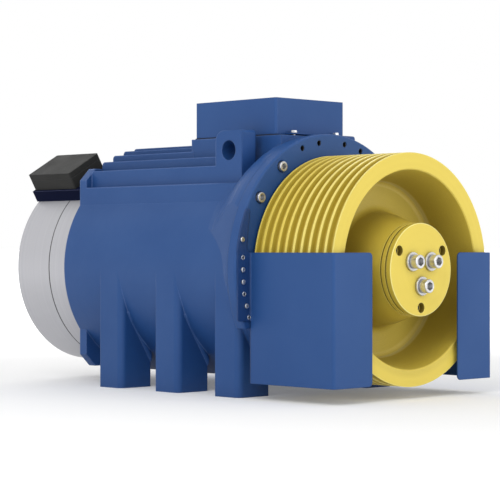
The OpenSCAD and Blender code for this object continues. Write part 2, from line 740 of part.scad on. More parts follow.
module rotor_hub() color(steel) difference() {
    revolve([[shaft_rotor_r, stack_x0 + 12], [shaft_rotor_r + rotor_hub_wall, stack_x0 + 12],
        [shaft_rotor_r + rotor_hub_wall, stack_x - rotor_web_t / 2],
        [rotor_inner_r - rotor_rim_wall, stack_x - rotor_web_t / 2],
        [rotor_inner_r - rotor_rim_wall, stack_x0], [rotor_inner_r - seat_gap, stack_x0],
        [rotor_inner_r - seat_gap, stack_x1], [rotor_inner_r - rotor_rim_wall, stack_x1],
        [rotor_inner_r - rotor_rim_wall, stack_x + rotor_web_t / 2],
        [shaft_rotor_r + rotor_hub_wall, stack_x + rotor_web_t / 2],
        [shaft_rotor_r + rotor_hub_wall, stack_x1 - 12], [shaft_rotor_r, stack_x1 - 12]]);
    at_angles([for (i = [0:5]) 60 * i], (shaft_rotor_r + rotor_hub_wall + rotor_inner_r - rotor_rim_wall) / 2,
        stack_x - rotor_web_t) cylinder(r = 14, h = 2 * rotor_web_t);
    key_slot(shaft_rotor_r, key_rotor, stack_x0, stack_x1);
}

module rotor_core() color(steel) ring(magnet_inner_r - seat_gap, rotor_inner_r, stack_x0, stack_x1);

module rotor_magnets() color(dark) for (i = [0:pole_count - 1]) rotate_on_shaft(i * 360 / pole_count)
    on_shaft(stack_x0 + 2) linear_extrude(stack_length - 4) intersection() {
        difference() {
            circle(r = magnet_outer_r, $fn = 120);
            circle(r = magnet_inner_r, $fn = 120);
        }
        polygon([[0, 0], [2 * magnet_outer_r, -2 * magnet_outer_r * tan(magnet_arc / 2)],
            [2 * magnet_outer_r, 2 * magnet_outer_r * tan(magnet_arc / 2)]]);
    }

// ---------- shaft, keys and bearings ----------

// a key is [width, height]; it lies half in the shaft, on top
module key_slot(seat_r, size, x0, x1)
    translate([x0 - eps, -size[0] / 2 - seat_gap, shaft_height])
        cube([x1 - x0 + 2 * eps, size[0] + 2 * seat_gap, seat_r + size[1] / 2 + seat_gap]);

module key(seat_r, size, x0, x1)
    translate([x0, -size[0] / 2, shaft_height + seat_r - size[1] / 2])
        cube([x1 - x0, size[0], size[1]]);

module key_bed(seat_r, size, x0, x1)
    translate([x0 - seat_gap, -size[0] / 2 - seat_gap, shaft_height + seat_r - size[1] / 2 - seat_gap])
        cube([x1 - x0 + 2 * seat_gap, size[0] + 2 * seat_gap, size[1]]);

key_sheave = [22, 14];
key_brake = [18, 11];
rotor_key_x = [stack_x - 70, stack_x + 70];
sheave_key_x = [hub_rear_x + 16, hub_front_x - 22];
brake_key_x = [brake_hub_x0 + 3, brake_hub_x1 - 3];
shaft_end_x = hub_front_x - 0.5;
encoder_shaft_r = 15;
shoulder_front_r = shaft_front_r + 8;
shoulder_rear_r = shaft_rear_r + 7.5;
lock_nut_w = 13;
lock_nut_r = 52;
lock_nut_x0 = rear_brg_x0 - lock_nut_w;
end_screw_r = 8;
end_screw_head = [12, 15];      // radius and height
end_screw_grip = 26;
end_screw_angles = [30, 150, 270];

module shaft() color(steel) difference() {
    revolve([[0, encoder_x0 + 6], [encoder_shaft_r, encoder_x0 + 6], [encoder_shaft_r, encoder_x1 + 6],
        [shaft_brake_r - 5, encoder_x1 + 6], [shaft_brake_r - 5, brake_hub_x0 - 3],
        [shaft_brake_r, brake_hub_x0 - 3], [shaft_brake_r, brake_hub_x1],
        [shaft_rear_r - 3, brake_hub_x1], [shaft_rear_r - 3, lock_nut_x0 - 2],
        [shaft_rear_r, lock_nut_x0 - 2], [shaft_rear_r, rear_brg_x1],
        [shoulder_rear_r, rear_brg_x1], [shoulder_rear_r, stack_x0 - 24],
        [shaft_rotor_r, stack_x0 - 24], [shaft_rotor_r, stack_x1 - 12],
        [shaft_rotor_r + 6, stack_x1 - 12], [shaft_rotor_r + 6, stack_x1 + 20],
        [shoulder_front_r, stack_x1 + 26], [shoulder_front_r, front_brg_x0],
        [shaft_front_r, front_brg_x0], [shaft_front_r, hub_rear_x],
        [shaft_sheave_r, hub_rear_x], [shaft_sheave_r, shaft_end_x - 2],
        [shaft_sheave_r - 2, shaft_end_x], [0, shaft_end_x]]);
    at_angles(end_screw_angles, end_screw_pcr, shaft_end_x - end_screw_grip - tapped_extra)
        cylinder(r = end_screw_r + seat_gap, h = end_screw_grip + tapped_extra + eps);
    key_bed(shaft_rotor_r, key_rotor, rotor_key_x[0], rotor_key_x[1]);
    key_bed(shaft_sheave_r, key_sheave, sheave_key_x[0], sheave_key_x[1]);
    key_bed(shaft_brake_r, key_brake, brake_key_x[0], brake_key_x[1]);
}

module rotor_key() color(steel) key(shaft_rotor_r, key_rotor, rotor_key_x[0], rotor_key_x[1]);
module sheave_key() color(steel) key(shaft_sheave_r, key_sheave, sheave_key_x[0], sheave_key_x[1]);
module brake_key() color(steel) key(shaft_brake_r, key_brake, brake_key_x[0], brake_key_x[1]);

front_brg_mid = (front_brg_x0 + front_brg_x1) / 2;
roller_pcr = (shaft_front_r + front_brg_r) / 2;
front_track_in = roller_pcr - roller_r - roll_gap;
front_track_out = roller_pcr + roller_r + roll_gap;
roller_length = front_brg_w - 12;

module front_bearing_outer_ring() color(steel)
    revolve([[front_track_out, front_brg_mid - roller_length / 2 - roll_gap],
        [front_track_out - 3, front_brg_mid - roller_length / 2 - roll_gap],
        [front_track_out - 3, front_brg_x0], [front_brg_r, front_brg_x0], [front_brg_r, front_brg_x1],
        [front_track_out - 3, front_brg_x1],
        [front_track_out - 3, front_brg_mid + roller_length / 2 + roll_gap],
        [front_track_out, front_brg_mid + roller_length / 2 + roll_gap]]);

module front_bearing_inner_ring() color(steel)
    ring(front_track_in, shaft_front_r + seat_gap, front_brg_x0, front_brg_x1);

module front_bearing_rollers() color(zinc)
    at_angles([for (i = [0:roller_count - 1]) 360 / roller_count * i], roller_pcr,
        front_brg_mid - roller_length / 2) cylinder(r = roller_r, h = roller_length);

module front_bearing_cage() color(copper) difference() {
    ring(roller_pcr + 4, roller_pcr - 4, front_brg_x0 + 1, front_brg_x1 - 1);
    at_angles([for (i = [0:roller_count - 1]) 360 / roller_count * i], roller_pcr,
        front_brg_mid - roller_length / 2 - roll_gap)
        cylinder(r = roller_r + roll_gap, h = roller_length + 2 * roll_gap);
}

module front_bearing_spacer() color(steel)
    ring(spacer_r, shaft_front_r + seat_gap, front_brg_x1, hub_rear_x);

rear_brg_mid = (rear_brg_x0 + rear_brg_x1) / 2;
ball_pcr = (shaft_rear_r + rear_brg_r) / 2;
ball_cage_t = 7;
cage_side = 2;

// the race's groove, a torus a little larger than the balls
module ball_groove() on_shaft(rear_brg_mid) rotate_extrude()
    translate([ball_pcr, 0]) circle(r = ball_r + roll_gap, $fn = 48);

module rear_bearing_outer_ring() color(steel) difference() {
    ring(rear_brg_r, ball_pcr + 0.6 * ball_r, rear_brg_x0, rear_brg_x1);
    ball_groove();
}

module rear_bearing_inner_ring() color(steel) difference() {
    ring(ball_pcr - 0.6 * ball_r, shaft_rear_r + seat_gap, rear_brg_x0, rear_brg_x1);
    ball_groove();
}

ball_angles = [for (i = [0:ball_count - 1]) 360 / ball_count * i];

module rear_bearing_balls() color(zinc)
    at_angles(ball_angles, ball_pcr, rear_brg_mid) sphere(r = ball_r, $fn = 32);

// a machined cage with radially drilled pockets
module rear_bearing_cage() color(copper) difference() {
    half_w = ball_r + cage_side;
    ring(ball_pcr + ball_cage_t / 2, ball_pcr - ball_cage_t / 2, rear_brg_mid - half_w, rear_brg_mid + half_w);
    for (a = ball_angles) on_shaft(rear_brg_mid) rotate(a) rotate([0, 90, 0])
        cylinder(r = ball_r + roll_gap, h = rear_brg_r);
}

module bearing_lock_nut() color(steel) difference() {
    ring(lock_nut_r, shaft_rear_r + seat_gap, lock_nut_x0, rear_brg_x0);
    at_angles([0, 90, 180, 270], lock_nut_r, lock_nut_x0 - eps)
        translate([-4, -5, 0]) cube([10, 10, lock_nut_w - 3]);
}

// ---------- sheave ----------

groove_land = (groove_pitch - rope_d - 4) / 2;
seat_r = rope_d / 2 + 0.3;
undercut = 2;

// one groove's outline from its rear land to its front land, as [depth, x]
function groove() = [[0, groove_land], [seat_depth - 1, groove_pitch / 2 - seat_r],
    for (p = arc(seat_depth, groove_pitch / 2, seat_r, 270, 310, 3)) [seat_depth + (p[0] - seat_depth), p[1]],
    [seat_depth + seat_r - 0.4, groove_pitch / 2 - undercut],
    [seat_depth + seat_r + 2.4, groove_pitch / 2 - undercut],
    [seat_depth + seat_r + 2.4, groove_pitch / 2 + undercut],
    [seat_depth + seat_r - 0.4, groove_pitch / 2 + undercut],
    for (p = arc(seat_depth, groove_pitch / 2, seat_r, 50, 90, 3)) [seat_depth + (p[0] - seat_depth), p[1]],
    [seat_depth - 1, groove_pitch / 2 + seat_r], [0, groove_pitch - groove_land]];
seat_depth = rope_d * 0.62;

rear_recess_r = 168;
hub_foot_r = hub_r + 16;
fillet_r = 14;
hub_line_x = hub_front_x - 11;
extraction_depth = 28;
extraction_step = 1.65;

module traction_sheave() color(yellow) difference() {
    revolve(concat(
        [for (g = [0:groove_count - 1], p = groove()) [sheave_r - p[0], sheave_rear_x + g * groove_pitch + p[1]]],
        [[sheave_r, sheave_front_x - 1.5], [sheave_r - 1.5, sheave_front_x],
            [rim_inner_r + 2, sheave_front_x], [rim_inner_r, sheave_front_x - 2]],
        arc(rim_inner_r - 2 - fillet_r, web_front_x + fillet_r, fillet_r, 0, -90, 6),
        arc(hub_foot_r + fillet_r, web_front_x + fillet_r, fillet_r, 270, 180, 6),
        [[hub_r, hub_line_x - 6], [hub_r, hub_line_x - 0.6], [hub_r - 1, hub_line_x],
            [hub_r, hub_line_x + 0.6], [hub_r, hub_front_x], [shaft_sheave_r + seat_gap, hub_front_x],
            [shaft_sheave_r + seat_gap, hub_rear_x], [hub_r - 6, hub_rear_x]],
        arc(hub_r + 4 + fillet_r, web_rear_x - fillet_r, fillet_r, 180, 90, 6),
        arc(rear_recess_r - 2 - fillet_r, web_rear_x - fillet_r, fillet_r, 90, 0, 6),
        [[rear_recess_r, sheave_rear_x + 2], [rear_recess_r + 2, sheave_rear_x],
            [sheave_r - 1.5, sheave_rear_x], [sheave_r, sheave_rear_x + 1.5]]));
    key_slot(shaft_sheave_r, key_sheave, hub_rear_x, hub_front_x);
    at_angles(end_screw_angles, extraction_pcr, hub_front_x - extraction_depth)
        cylinder(r = extraction_hole_r - extraction_step, h = extraction_depth + eps);
}

module sheave_end_plate() color(yellow) difference() {
    revolve([[0, hub_front_x], [hub_r, hub_front_x], [hub_r, cap_face_x - 1.2],
        [hub_r - 1.2, cap_face_x], [0, cap_face_x]]);
    at_angles(end_screw_angles, extraction_pcr, hub_front_x - eps)
        cylinder(r = extraction_hole_r, h = end_cap_t + 2 * eps);
    at_angles(end_screw_angles, end_screw_pcr, hub_front_x - eps)
        cylinder(r = end_screw_r + 0.5, h = end_cap_t + 2 * eps);
}

washer_t = 5;
washer_r = 16.5;

module end_plate_washers() color(zinc) at_angles(end_screw_angles, end_screw_pcr, cap_face_x)
    difference() {
        cylinder(r = washer_r, h = washer_t);
        translate([0, 0, -eps]) cylinder(r = end_screw_r + 0.3, h = washer_t + 2 * eps);
    }

module end_plate_screws() color(zinc) at_angles(end_screw_angles, end_screw_pcr, cap_face_x + washer_t)
    cap_screw(end_screw_r, end_cap_t + washer_t + end_screw_grip, end_screw_head[0], end_screw_head[1], 14);

// ---------- rope guards ----------

guard_inner = sheave_r + guard_gap;
guard_outer = guard_inner + guard_t;
guard_rear_x = shield_face_x;
guard_face_x = sheave_front_x + guard_front_gap + guard_t;
guard_height = guard_top_z + guard_bottom_z;
guard_tongue_inset = 1;     // from the shield's rim
tongue_root_y = guard_outer + 9;
tongue_taper = 8;

// a quarter of a bent sheet round its bend's centre, from angle a to a + 90
module sheet_bend(a) rotate(a) intersection() {
    difference() {
        circle(guard_bend_r + guard_t);
        circle(guard_bend_r);
    }
    square(guard_bend_r + guard_t);
}

// the near guard seen from above: mounting flange, side plate and front flange
module guard_shape() {
    side_x0 = guard_rear_x + guard_t + guard_bend_r;
    side_x1 = guard_face_x - guard_t - guard_bend_r;
    rear_bend_y = -guard_outer - guard_bend_r;
    front_bend_y = -guard_inner + guard_bend_r;
    translate([guard_rear_x, -guard_flange_y]) square([guard_t, guard_flange_y + rear_bend_y]);
    translate([side_x0, rear_bend_y]) sheet_bend(90);
    translate([side_x0, -guard_outer]) square([side_x1 - side_x0, guard_t]);
    translate([side_x1, front_bend_y]) sheet_bend(270);
    translate([guard_face_x - guard_t, front_bend_y]) square([guard_t, -guard_inner_y - front_bend_y]);
}

// the flange's tongue, seen along the shaft: it follows the bearing shield's rim upwards
module guard_tongue_shape() intersection() {
    circle(r = shield_r - guard_tongue_inset, $fn = 120);
    polygon([[-guard_outer - guard_bend_r, guard_top_z - guard_corner_r],
        [-guard_outer - guard_bend_r, guard_top_z], [-tongue_root_y, guard_top_z + guard_corner_r],
        [-tongue_root_y + tongue_taper, guard_tongue_z], [-shield_r, guard_tongue_z],
        [-shield_r, guard_top_z + guard_corner_r], [-guard_flange_y, guard_top_z],
        [-guard_flange_y, guard_top_z - guard_corner_r]]);
}

// the near guard; the far one is its mirror image
module rope_guard() color(blue) difference() {
    union() {
        translate([0, 0, shaft_height - guard_bottom_z]) linear_extrude(guard_height) guard_shape();
        translate([guard_rear_x, 0, shaft_height]) rotate([90, 0, 90])
            linear_extrude(guard_t) guard_tongue_shape();
    }
    // the mounting flange is shorter than the side plate
    translate([guard_rear_x - eps, -guard_flange_y - eps, shaft_height - guard_bottom_z - eps])
        cube([guard_t + guard_bend_r + eps, guard_flange_y - guard_outer + eps,
            guard_bottom_z - guard_flange_z + eps]);
    // round free corners, seen along the shaft
    for (z = [[shaft_height + guard_top_z, 0], [shaft_height - guard_bottom_z, 1]])
        translate([guard_face_x - 2 * guard_t, -guard_inner_y, z[0]]) mirror([0, 0, z[1]])
            rotate([90, 0, 90]) linear_extrude(3 * guard_t) corner_cut(guard_corner_r);
    translate([guard_rear_x - eps, -guard_flange_y, shaft_height - guard_flange_z])
        mirror([0, 0, 1]) mirror([0, 1, 0]) rotate([90, 0, 90])
            linear_extrude(guard_t + 2 * eps) corner_cut(guard_corner_r / 2);
    at_angles([for (a = guard_row) 180 + a], flange_hole_pcr, guard_rear_x - eps)
        cylinder(r = guard_screw_r + 0.3, h = guard_t + 2 * eps);
    at_angles([180 - edge_screw_angle], edge_screw_pcr, guard_rear_x - eps)
        cylinder(r = edge_screw_r + 0.3, h = guard_t + 2 * eps);
}

module rope_guard_near() rope_guard();
module rope_guard_far() mirror([0, 1, 0]) rope_guard();

module guard_screws() color(zinc) both_sides() {
    at_angles([for (a = guard_screw_rows) 180 + a], flange_hole_pcr, guard_rear_x + guard_t)
        button_screw(guard_screw_r, guard_t + guard_screw_grip);
    at_angles([180 - edge_screw_angle], edge_screw_pcr, guard_rear_x + guard_t)
        button_screw(edge_screw_r, guard_t + edge_screw_grip - 1);
}

// ---------- brake ----------

brake_bore_r = 75;
magnet_bore_r = 50;
lining_inner_r = 96;
lining_outer_r = 158;
hub_teeth = 18;
hub_tooth_r = 52;
hub_root_r = 47.5;
guide_pin_r = 7;
guide_pin_pcr = armature_r - 14;
guide_pin_seat = 18;
guide_pin_angles = [28, 152, 208, 332];
coil_outer_r = 136;
coil_inner_r = 84;
coil_t = 12;
coil_depth = 42;

brake_edge = 3;      // chamfers of the brake's outer edges
seam_edge = 1.4;

module brake_flange_ring() color(grey) difference() {
    revolve([[brake_bore_r, rear_x], [brake_r - brake_edge, rear_x],
        [brake_r, rear_x - brake_edge], [brake_r, brake_seam_x + seam_edge],
        [brake_r - seam_edge, brake_seam_x],
        [brake_r - brake_wall, brake_seam_x], [brake_r - brake_wall, friction_face_x],
        [brake_bore_r, friction_face_x]]);
    at_angles(brake_screw_angles, brake_screw_pcr, brake_seam_x - eps)
        cylinder(r = brake_screw_r + 0.5, h = brake_ring_length + 2 * eps);
}

// one circuit's coil channel, a wide arc seen along the shaft
module coil_shape(grow) intersection() {
    difference() {
        circle(coil_outer_r + grow);
        circle(coil_inner_r - grow);
    }
    translate([-brake_r, guide_pin_r + 4 - grow]) square([2 * brake_r, brake_r]);
}

module coil_winding() difference() {
    coil_shape(0);
    coil_shape(-coil_t);
}

spring_pcr = (coil_outer_r + coil_inner_r) / 2;
spring_depth = 34;
spring_angles = [for (i = [0:spring_count - 1]) 90 + (i - (spring_count - 1) / 2) * 116 / (spring_count - 1)];

module both_circuits() for (a = [0, 180]) rotate_on_shaft(a) children();

encoder_recess_r = 75;
encoder_r = 52;

module brake_magnet_body() color(grey) difference() {
    revolve([[magnet_bore_r, brake_seam_x], [brake_r - seam_edge, brake_seam_x],
        [brake_r, brake_seam_x - seam_edge], [brake_r, brake_rear_x + brake_edge],
        [brake_r - brake_edge, brake_rear_x],
        [encoder_recess_r, brake_rear_x], [encoder_recess_r, encoder_x1],
        [magnet_bore_r, encoder_x1]]);
    both_circuits() on_shaft(brake_seam_x - coil_depth) linear_extrude(coil_depth + eps) difference() {
        coil_shape(seat_gap);
        coil_shape(-coil_t - seat_gap);
    }
    both_circuits() at_angles(spring_angles, spring_pcr, brake_seam_x - spring_depth)
        cylinder(r = spring_r + 0.5, h = spring_depth + eps);
    at_angles(guide_pin_angles, guide_pin_pcr, brake_seam_x - guide_pin_seat)
        cylinder(r = guide_pin_r + seat_gap, h = guide_pin_seat + eps);
    at_angles(brake_screw_angles, brake_screw_pcr, brake_rear_x - eps)
        cylinder(r = brake_screw_r + 0.5, h = magnet_body_length + 2 * eps);
    at_angles(brake_screw_angles, brake_screw_pcr, brake_rear_x - eps)
        cylinder(r = brake_head_r + 1, h = brake_head_sink + eps);
    at_angles(cover_angles, encoder_cover_pcr, brake_rear_x - eps)
        cylinder(r = cover_fix_r + seat_gap, h = cover_fix_grip + tapped_extra + eps);
}

module brake_coils() color(copper) both_circuits()
    on_shaft(brake_seam_x - coil_depth + seat_gap) linear_extrude(coil_depth - 2) coil_winding();

// a spring drawn as a ribbed sleeve of the coil's size
module spring(length) {
    turns = 6;
    wire = length / turns / 2;
    rotate_extrude() polygon(concat([[spring_r - 3, 0], [spring_r - 3, length]],
        [for (i = [turns - 1:-1:0], p = [[0, 2], [0, 1.2], [-1.6, 0.8], [-1.6, 0]])
            [spring_r + p[0], (2 * i + p[1]) * wire]]));
}

module brake_springs() color(steel) both_circuits()
    at_angles(spring_angles, spring_pcr, brake_seam_x - spring_depth + seat_gap)
        spring(spring_depth - 2 * seat_gap);

// each pin is pressed into the magnet body and ends inside the armature plate
module brake_guide_pins() color(steel)
    at_angles(guide_pin_angles, guide_pin_pcr, brake_seam_x - guide_pin_seat)
        cylinder(r = guide_pin_r, h = guide_pin_seat + armature_front_x - brake_seam_x - 2);

module brake_screws() color(zinc)
    at_angles(brake_screw_angles, brake_screw_pcr, brake_rear_x + brake_head_sink) mirror([0, 0, 1])
        cap_screw(brake_screw_r, rear_x + brake_screw_grip - brake_rear_x - brake_head_sink,
            brake_head_r, brake_head_sink - 1.5, 8);

module armature_plate() color(steel) difference() {
    on_shaft(armature_rear_x) linear_extrude(armature_front_x - armature_rear_x) intersection() {
        difference() {
            circle(r = armature_r, $fn = 120);
            circle(r = armature_inner_r);
        }
        translate([-brake_r, 1]) square([2 * brake_r, brake_r]);
    }
    at_angles([for (i = [0:1]) guide_pin_angles[i]], guide_pin_pcr, armature_rear_x - eps)
        cylinder(r = guide_pin_r + pin_gap, h = armature_front_x - armature_rear_x + 2 * eps);
}

module armature_plate_upper() armature_plate();
module armature_plate_lower() rotate_on_shaft(180) armature_plate();

// the toothed outline shared by the brake hub and the friction disc
module tooth_shape(gap) union() {
    circle(r = hub_root_r + gap);
    for (i = [0:hub_teeth - 1]) rotate(i * 360 / hub_teeth) polygon([
        [hub_root_r - 4, -4.6 - gap], [hub_tooth_r + gap, -3 - gap],
        [hub_tooth_r + gap, 3 + gap], [hub_root_r - 4, 4.6 + gap]]);
}

module brake_hub() color(steel) difference() {
    on_shaft(brake_hub_x0) linear_extrude(brake_hub_x1 - brake_hub_x0) difference() {
        tooth_shape(0);
        circle(r = shaft_brake_r + seat_gap);
    }
    key_slot(shaft_brake_r, key_brake, brake_hub_x0, brake_hub_x1);
}

module friction_disc() color(steel) on_shaft(friction_disc_x - disc_t / 2) linear_extrude(disc_t)
    difference() {
        circle(r = lining_outer_r, $fn = 120);
        tooth_shape(0.15);
    }

module friction_linings() color(dark) {
    ring(lining_outer_r, lining_inner_r, friction_disc_x + disc_t / 2, friction_disc_x + stack_t / 2);
    ring(lining_outer_r, lining_inner_r, friction_disc_x - stack_t / 2, friction_disc_x - disc_t / 2);
}

// ---------- encoder ----------

encoder_cover_pcr = 84;
encoder_cover_r = 92;
cover_fix_r = 2.5;
cover_fix_grip = 10;
cover_dome = 9;      // how far the cover stands behind the brake
cover_sheet = 4;
cover_angles = [for (i = [0:5]) 60 * i];

module encoder() color(dark) difference() {
    revolve([[encoder_shaft_r + run_gap, encoder_x0], [encoder_r, encoder_x0],
        [encoder_r, encoder_x1 - 5], [encoder_recess_r - seat_gap, encoder_x1 - 5],
        [encoder_recess_r - seat_gap, encoder_x1 - seat_gap], [encoder_shaft_r + 12, encoder_x1 - seat_gap],
        [encoder_shaft_r + 12, encoder_x1 - 12], [encoder_shaft_r + run_gap, encoder_x1 - 12]]);
}

module encoder_cover() color(grey) difference() {
    revolve([[0, brake_rear_x - cover_dome], [encoder_recess_r - 3, brake_rear_x - cover_dome],
        [encoder_recess_r, brake_rear_x - cover_sheet], [encoder_cover_r, brake_rear_x - cover_sheet],
        [encoder_cover_r, brake_rear_x], [encoder_recess_r - 5, brake_rear_x],
        [encoder_recess_r - 7, brake_rear_x - cover_dome + cover_sheet],
        [0, brake_rear_x - cover_dome + cover_sheet]]);
    at_angles(cover_angles, encoder_cover_pcr, brake_rear_x - cover_dome)
        cylinder(r = cover_fix_r + 0.2, h = cover_dome + eps);
}

module encoder_cover_screws() color(zinc)
    at_angles(cover_angles, encoder_cover_pcr, brake_rear_x - cover_sheet)
        mirror([0, 0, 1]) cap_screw(cover_fix_r, cover_sheet + cover_fix_grip, 4.5, 3, 3);

// ---------- terminal box ----------

gasket_t = 2;
tbox_screw_r = 3;
tbox_screw_x = tbox_front_x + 11.5;
tab_edge = 6;                  // hood tab beyond the screws
tab_t = 2.5;
tbox_screw_grip = 14;
tbox_thread_depth = 20;
gasket_width = 8;
tbox_screw_y = 55.5;
tbox_mid_x = tbox_front_x - tbox_length / 2;
tbox_base_z = shaft_height + pad_z + gasket_t;
gland_x = [tbox_mid_x - 62, tbox_mid_x - 10, tbox_mid_x + 36];
gland_r = [16, 12.5, 10];
gland_z = tbox_base_z + 34;

module terminal_pad_gasket() color(dark) translate([0, 0, shaft_height + pad_z])
    linear_extrude(gasket_t) difference() {
        translate([tbox_mid_x, 0]) square([tbox_length, tbox_width], center = true);
        translate([tbox_mid_x, 0])
            square([tbox_length - 2 * gasket_width, tbox_width - 2 * gasket_width], center = true);
    }

module terminal_box() color(blue) difference() {
    union() {
        translate([tbox_mid_x, 0, tbox_base_z]) linear_extrude(tbox_height - gasket_t)
            round_rect(tbox_length, tbox_width, tbox_corner_r);
        translate([tbox_front_x - tbox_wall, -tbox_screw_y - 2 * tab_edge, tbox_base_z])
            cube([tbox_screw_x + tab_edge - tbox_front_x + tbox_wall, 2 * tbox_screw_y + 4 * tab_edge, tab_t]);
    }
    translate([tbox_mid_x, 0, tbox_base_z - eps]) linear_extrude(tbox_height - gasket_t - tbox_wall + eps)
        round_rect(tbox_length - 2 * tbox_wall, tbox_width - 2 * tbox_wall, tbox_corner_r);
    both_sides() translate([tbox_screw_x, tbox_screw_y, tbox_base_z - eps])
        cylinder(r = tbox_screw_r + 0.4, h = tab_t + 2 * eps);
    for (i = [0:2]) translate([gland_x[i], tbox_width / 2 - tbox_wall - eps, gland_z])
        rotate([-90, 0, 0]) cylinder(r = gland_r[i] + 0.2, h = tbox_wall + 2 * eps);
}

module terminal_box_screws() color(zinc) both_sides()
    translate([tbox_screw_x, tbox_screw_y, tbox_base_z + tab_t])
        hex_screw(tbox_screw_r, tab_t + gasket_t + tbox_screw_grip);

// terminal studs on their insulating block
module terminal_block() color(dark) {
    block = [96, 40, 18];
    translate([tbox_mid_x - 20, -10, shaft_height + pad_z]) {
        translate([-block[0] / 2, -block[1] / 2, 0]) cube(block);
        for (i = [-1.5:1.5]) translate([i * 24, 0, block[2]]) cylinder(r = 4, h = 14);
    }
}

// a gland: hexagon, domed nut, and its thread and lock nut through the wall
module gland(r, depth) difference() {
    union() {
        translate([0, 0, -depth]) cylinder(r = r, h = depth + 1);
        translate([0, 0, 0]) linear_extrude(7) hexagon(2.5 * r);
        translate([0, 0, 7]) cylinder(r = 1.12 * r, h = 4);
        translate([0, 0, 11]) cylinder(r1 = 1.1 * r, r2 = 0.8 * r, h = 10);
    }
    translate([0, 0, -depth - eps]) cylinder(r = 0.55 * r, h = depth + 30);
}

module cable_glands() color(dark) for (i = [0:2])
    translate([gland_x[i], tbox_width / 2, gland_z]) rotate([-90, 0, 0]) gland(gland_r[i], tbox_wall + 8);

// ---------- brake terminal box ----------

bracket_screw_r = 3;
bracket_screw_pcr = brake_r + 7;
bracket_screw_grip = 10;
bracket_screw_angles = [bbox_angle - 6, bbox_angle + 6];
bracket_wrap = 10;     // how far the bracket's sides reach down beside the brake
bracket_clear = 0.3;
tab_width = 68;
bbox_x1 = brake_seam_x + 28.8;
bbox_x0 = bbox_x1 - bbox_length;
bbox_shift = 7;
bbox_wall = 3;
lid_height = 12;
bbox_gland_r = 8;
bbox_gland_rise = 12;

// radial frame of the small box: x outwards, y down the near side, z along the shaft
module at_box() on_shaft() rotate(bbox_angle) translate([0, bbox_shift]) children();

module brake_box_bracket() color(blue) difference() {
    width = bbox_width + 2 * bracket_lip;
    x0 = bbox_x0 - bracket_lip;
    union() {
        at_box() translate([bbox_seat_r - bracket_t, -width / 2, x0]) cube([bracket_t, width, rear_x - x0]);
        at_box() for (s = [-1, 1])
            translate([brake_r - bracket_wrap, s > 0 ? width / 2 - bracket_t : -width / 2, x0])
                cube([bracket_rise + bracket_wrap, bracket_t, rear_x - x0]);
        // tab on the end plate
        intersection() {
            at_angles([bbox_angle], brake_r + 0.5, rear_x - bracket_t)
                translate([0, -tab_width / 2, 0]) cube([bracket_rise - 0.5, tab_width, bracket_t]);
            ring(bbox_seat_r + bracket_rise, brake_r + 0.5, rear_x - 2 * bracket_t, rear_x + eps);
        }
    }
    on_shaft(brake_rear_x - bracket_lip)
        cylinder(r = brake_r + bracket_clear, h = rear_x - brake_rear_x + 2 * bracket_lip);
    at_angles(bracket_screw_angles, bracket_screw_pcr, rear_x - bracket_t - eps)
        cylinder(r = bracket_screw_r + bracket_clear, h = bracket_t + 2 * eps);
}

module bracket_screws() color(zinc) at_angles(bracket_screw_angles, bracket_screw_pcr, rear_x - bracket_t)
    mirror([0, 0, 1]) cap_screw(bracket_screw_r, bracket_t + bracket_screw_grip, 5, 3, 4);

module brake_box_base() color(dark) difference() {
    at_box() translate([bbox_seat_r, 0, (bbox_x0 + bbox_x1) / 2]) rotate([0, 90, 0])
        linear_extrude(bbox_height - lid_height) round_rect(bbox_length, bbox_width, 3);
    at_box() translate([bbox_seat_r + bbox_wall, 0, (bbox_x0 + bbox_x1) / 2]) rotate([0, 90, 0])
        linear_extrude(bbox_height) round_rect(bbox_length - 2 * bbox_wall, bbox_width - 2 * bbox_wall, 3);
    at_box() translate([bbox_seat_r + bbox_gland_rise, 0, bbox_x0 - eps])
        cylinder(r = bbox_gland_r + 0.2, h = bbox_wall + 2 * eps);
}

module brake_box_lid() color(dark) difference() {
    at_box() translate([bbox_seat_r + bbox_height - lid_height, 0, (bbox_x0 + bbox_x1) / 2])
        rotate([0, 90, 0]) linear_extrude(lid_height) round_rect(bbox_length, bbox_width, 3);
    at_box() translate([bbox_seat_r + bbox_height - lid_height - eps, 0, (bbox_x0 + bbox_x1) / 2])
        rotate([0, 90, 0]) linear_extrude(lid_height - bbox_wall + eps)
            round_rect(bbox_length - 2 * bbox_wall, bbox_width - 2 * bbox_wall, 3);
}

module brake_box_gland() color(dark)
    at_box() translate([bbox_seat_r + bbox_gland_rise, 0, bbox_x0]) mirror([0, 0, 1])
        gland(bbox_gland_r, bbox_wall + 6);

stator_housing();
front_bearing_shield();
shield_screws();
rear_bearing_shield();
rear_shield_screws();
stator_core();
stator_windings();
front_bearing_outer_ring();
front_bearing_cover();
front_cover_screws();
rear_bearing_outer_ring();
rope_guard_near();
rope_guard_far();
guard_screws();
terminal_pad_gasket();
terminal_box();
terminal_box_screws();
terminal_block();
cable_glands();
brake_flange_ring();
brake_magnet_body();
brake_coils();
brake_springs();
brake_guide_pins();
brake_screws();
encoder();
encoder_cover();
encoder_cover_screws();
brake_box_bracket();
bracket_screws();
brake_box_base();
brake_box_lid();
brake_box_gland();
shaft();
rotor_hub();
rotor_core();
rotor_magnets();
rotor_key();
front_bearing_inner_ring();
front_bearing_spacer();
rear_bearing_inner_ring();
bearing_lock_nut();
traction_sheave();
sheave_key();
sheave_end_plate();
end_plate_washers();
end_plate_screws();
brake_hub();
brake_key();
friction_disc();
friction_linings();
front_bearing_rollers();
front_bearing_cage();
rear_bearing_balls();
rear_bearing_cage();
armature_plate_upper();
armature_plate_lower();
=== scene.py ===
# Gearless elevator traction machine: finishes and fine parts around the fixed frame
import json
import math

import bmesh
import bpy
from mathutils import Matrix, Vector


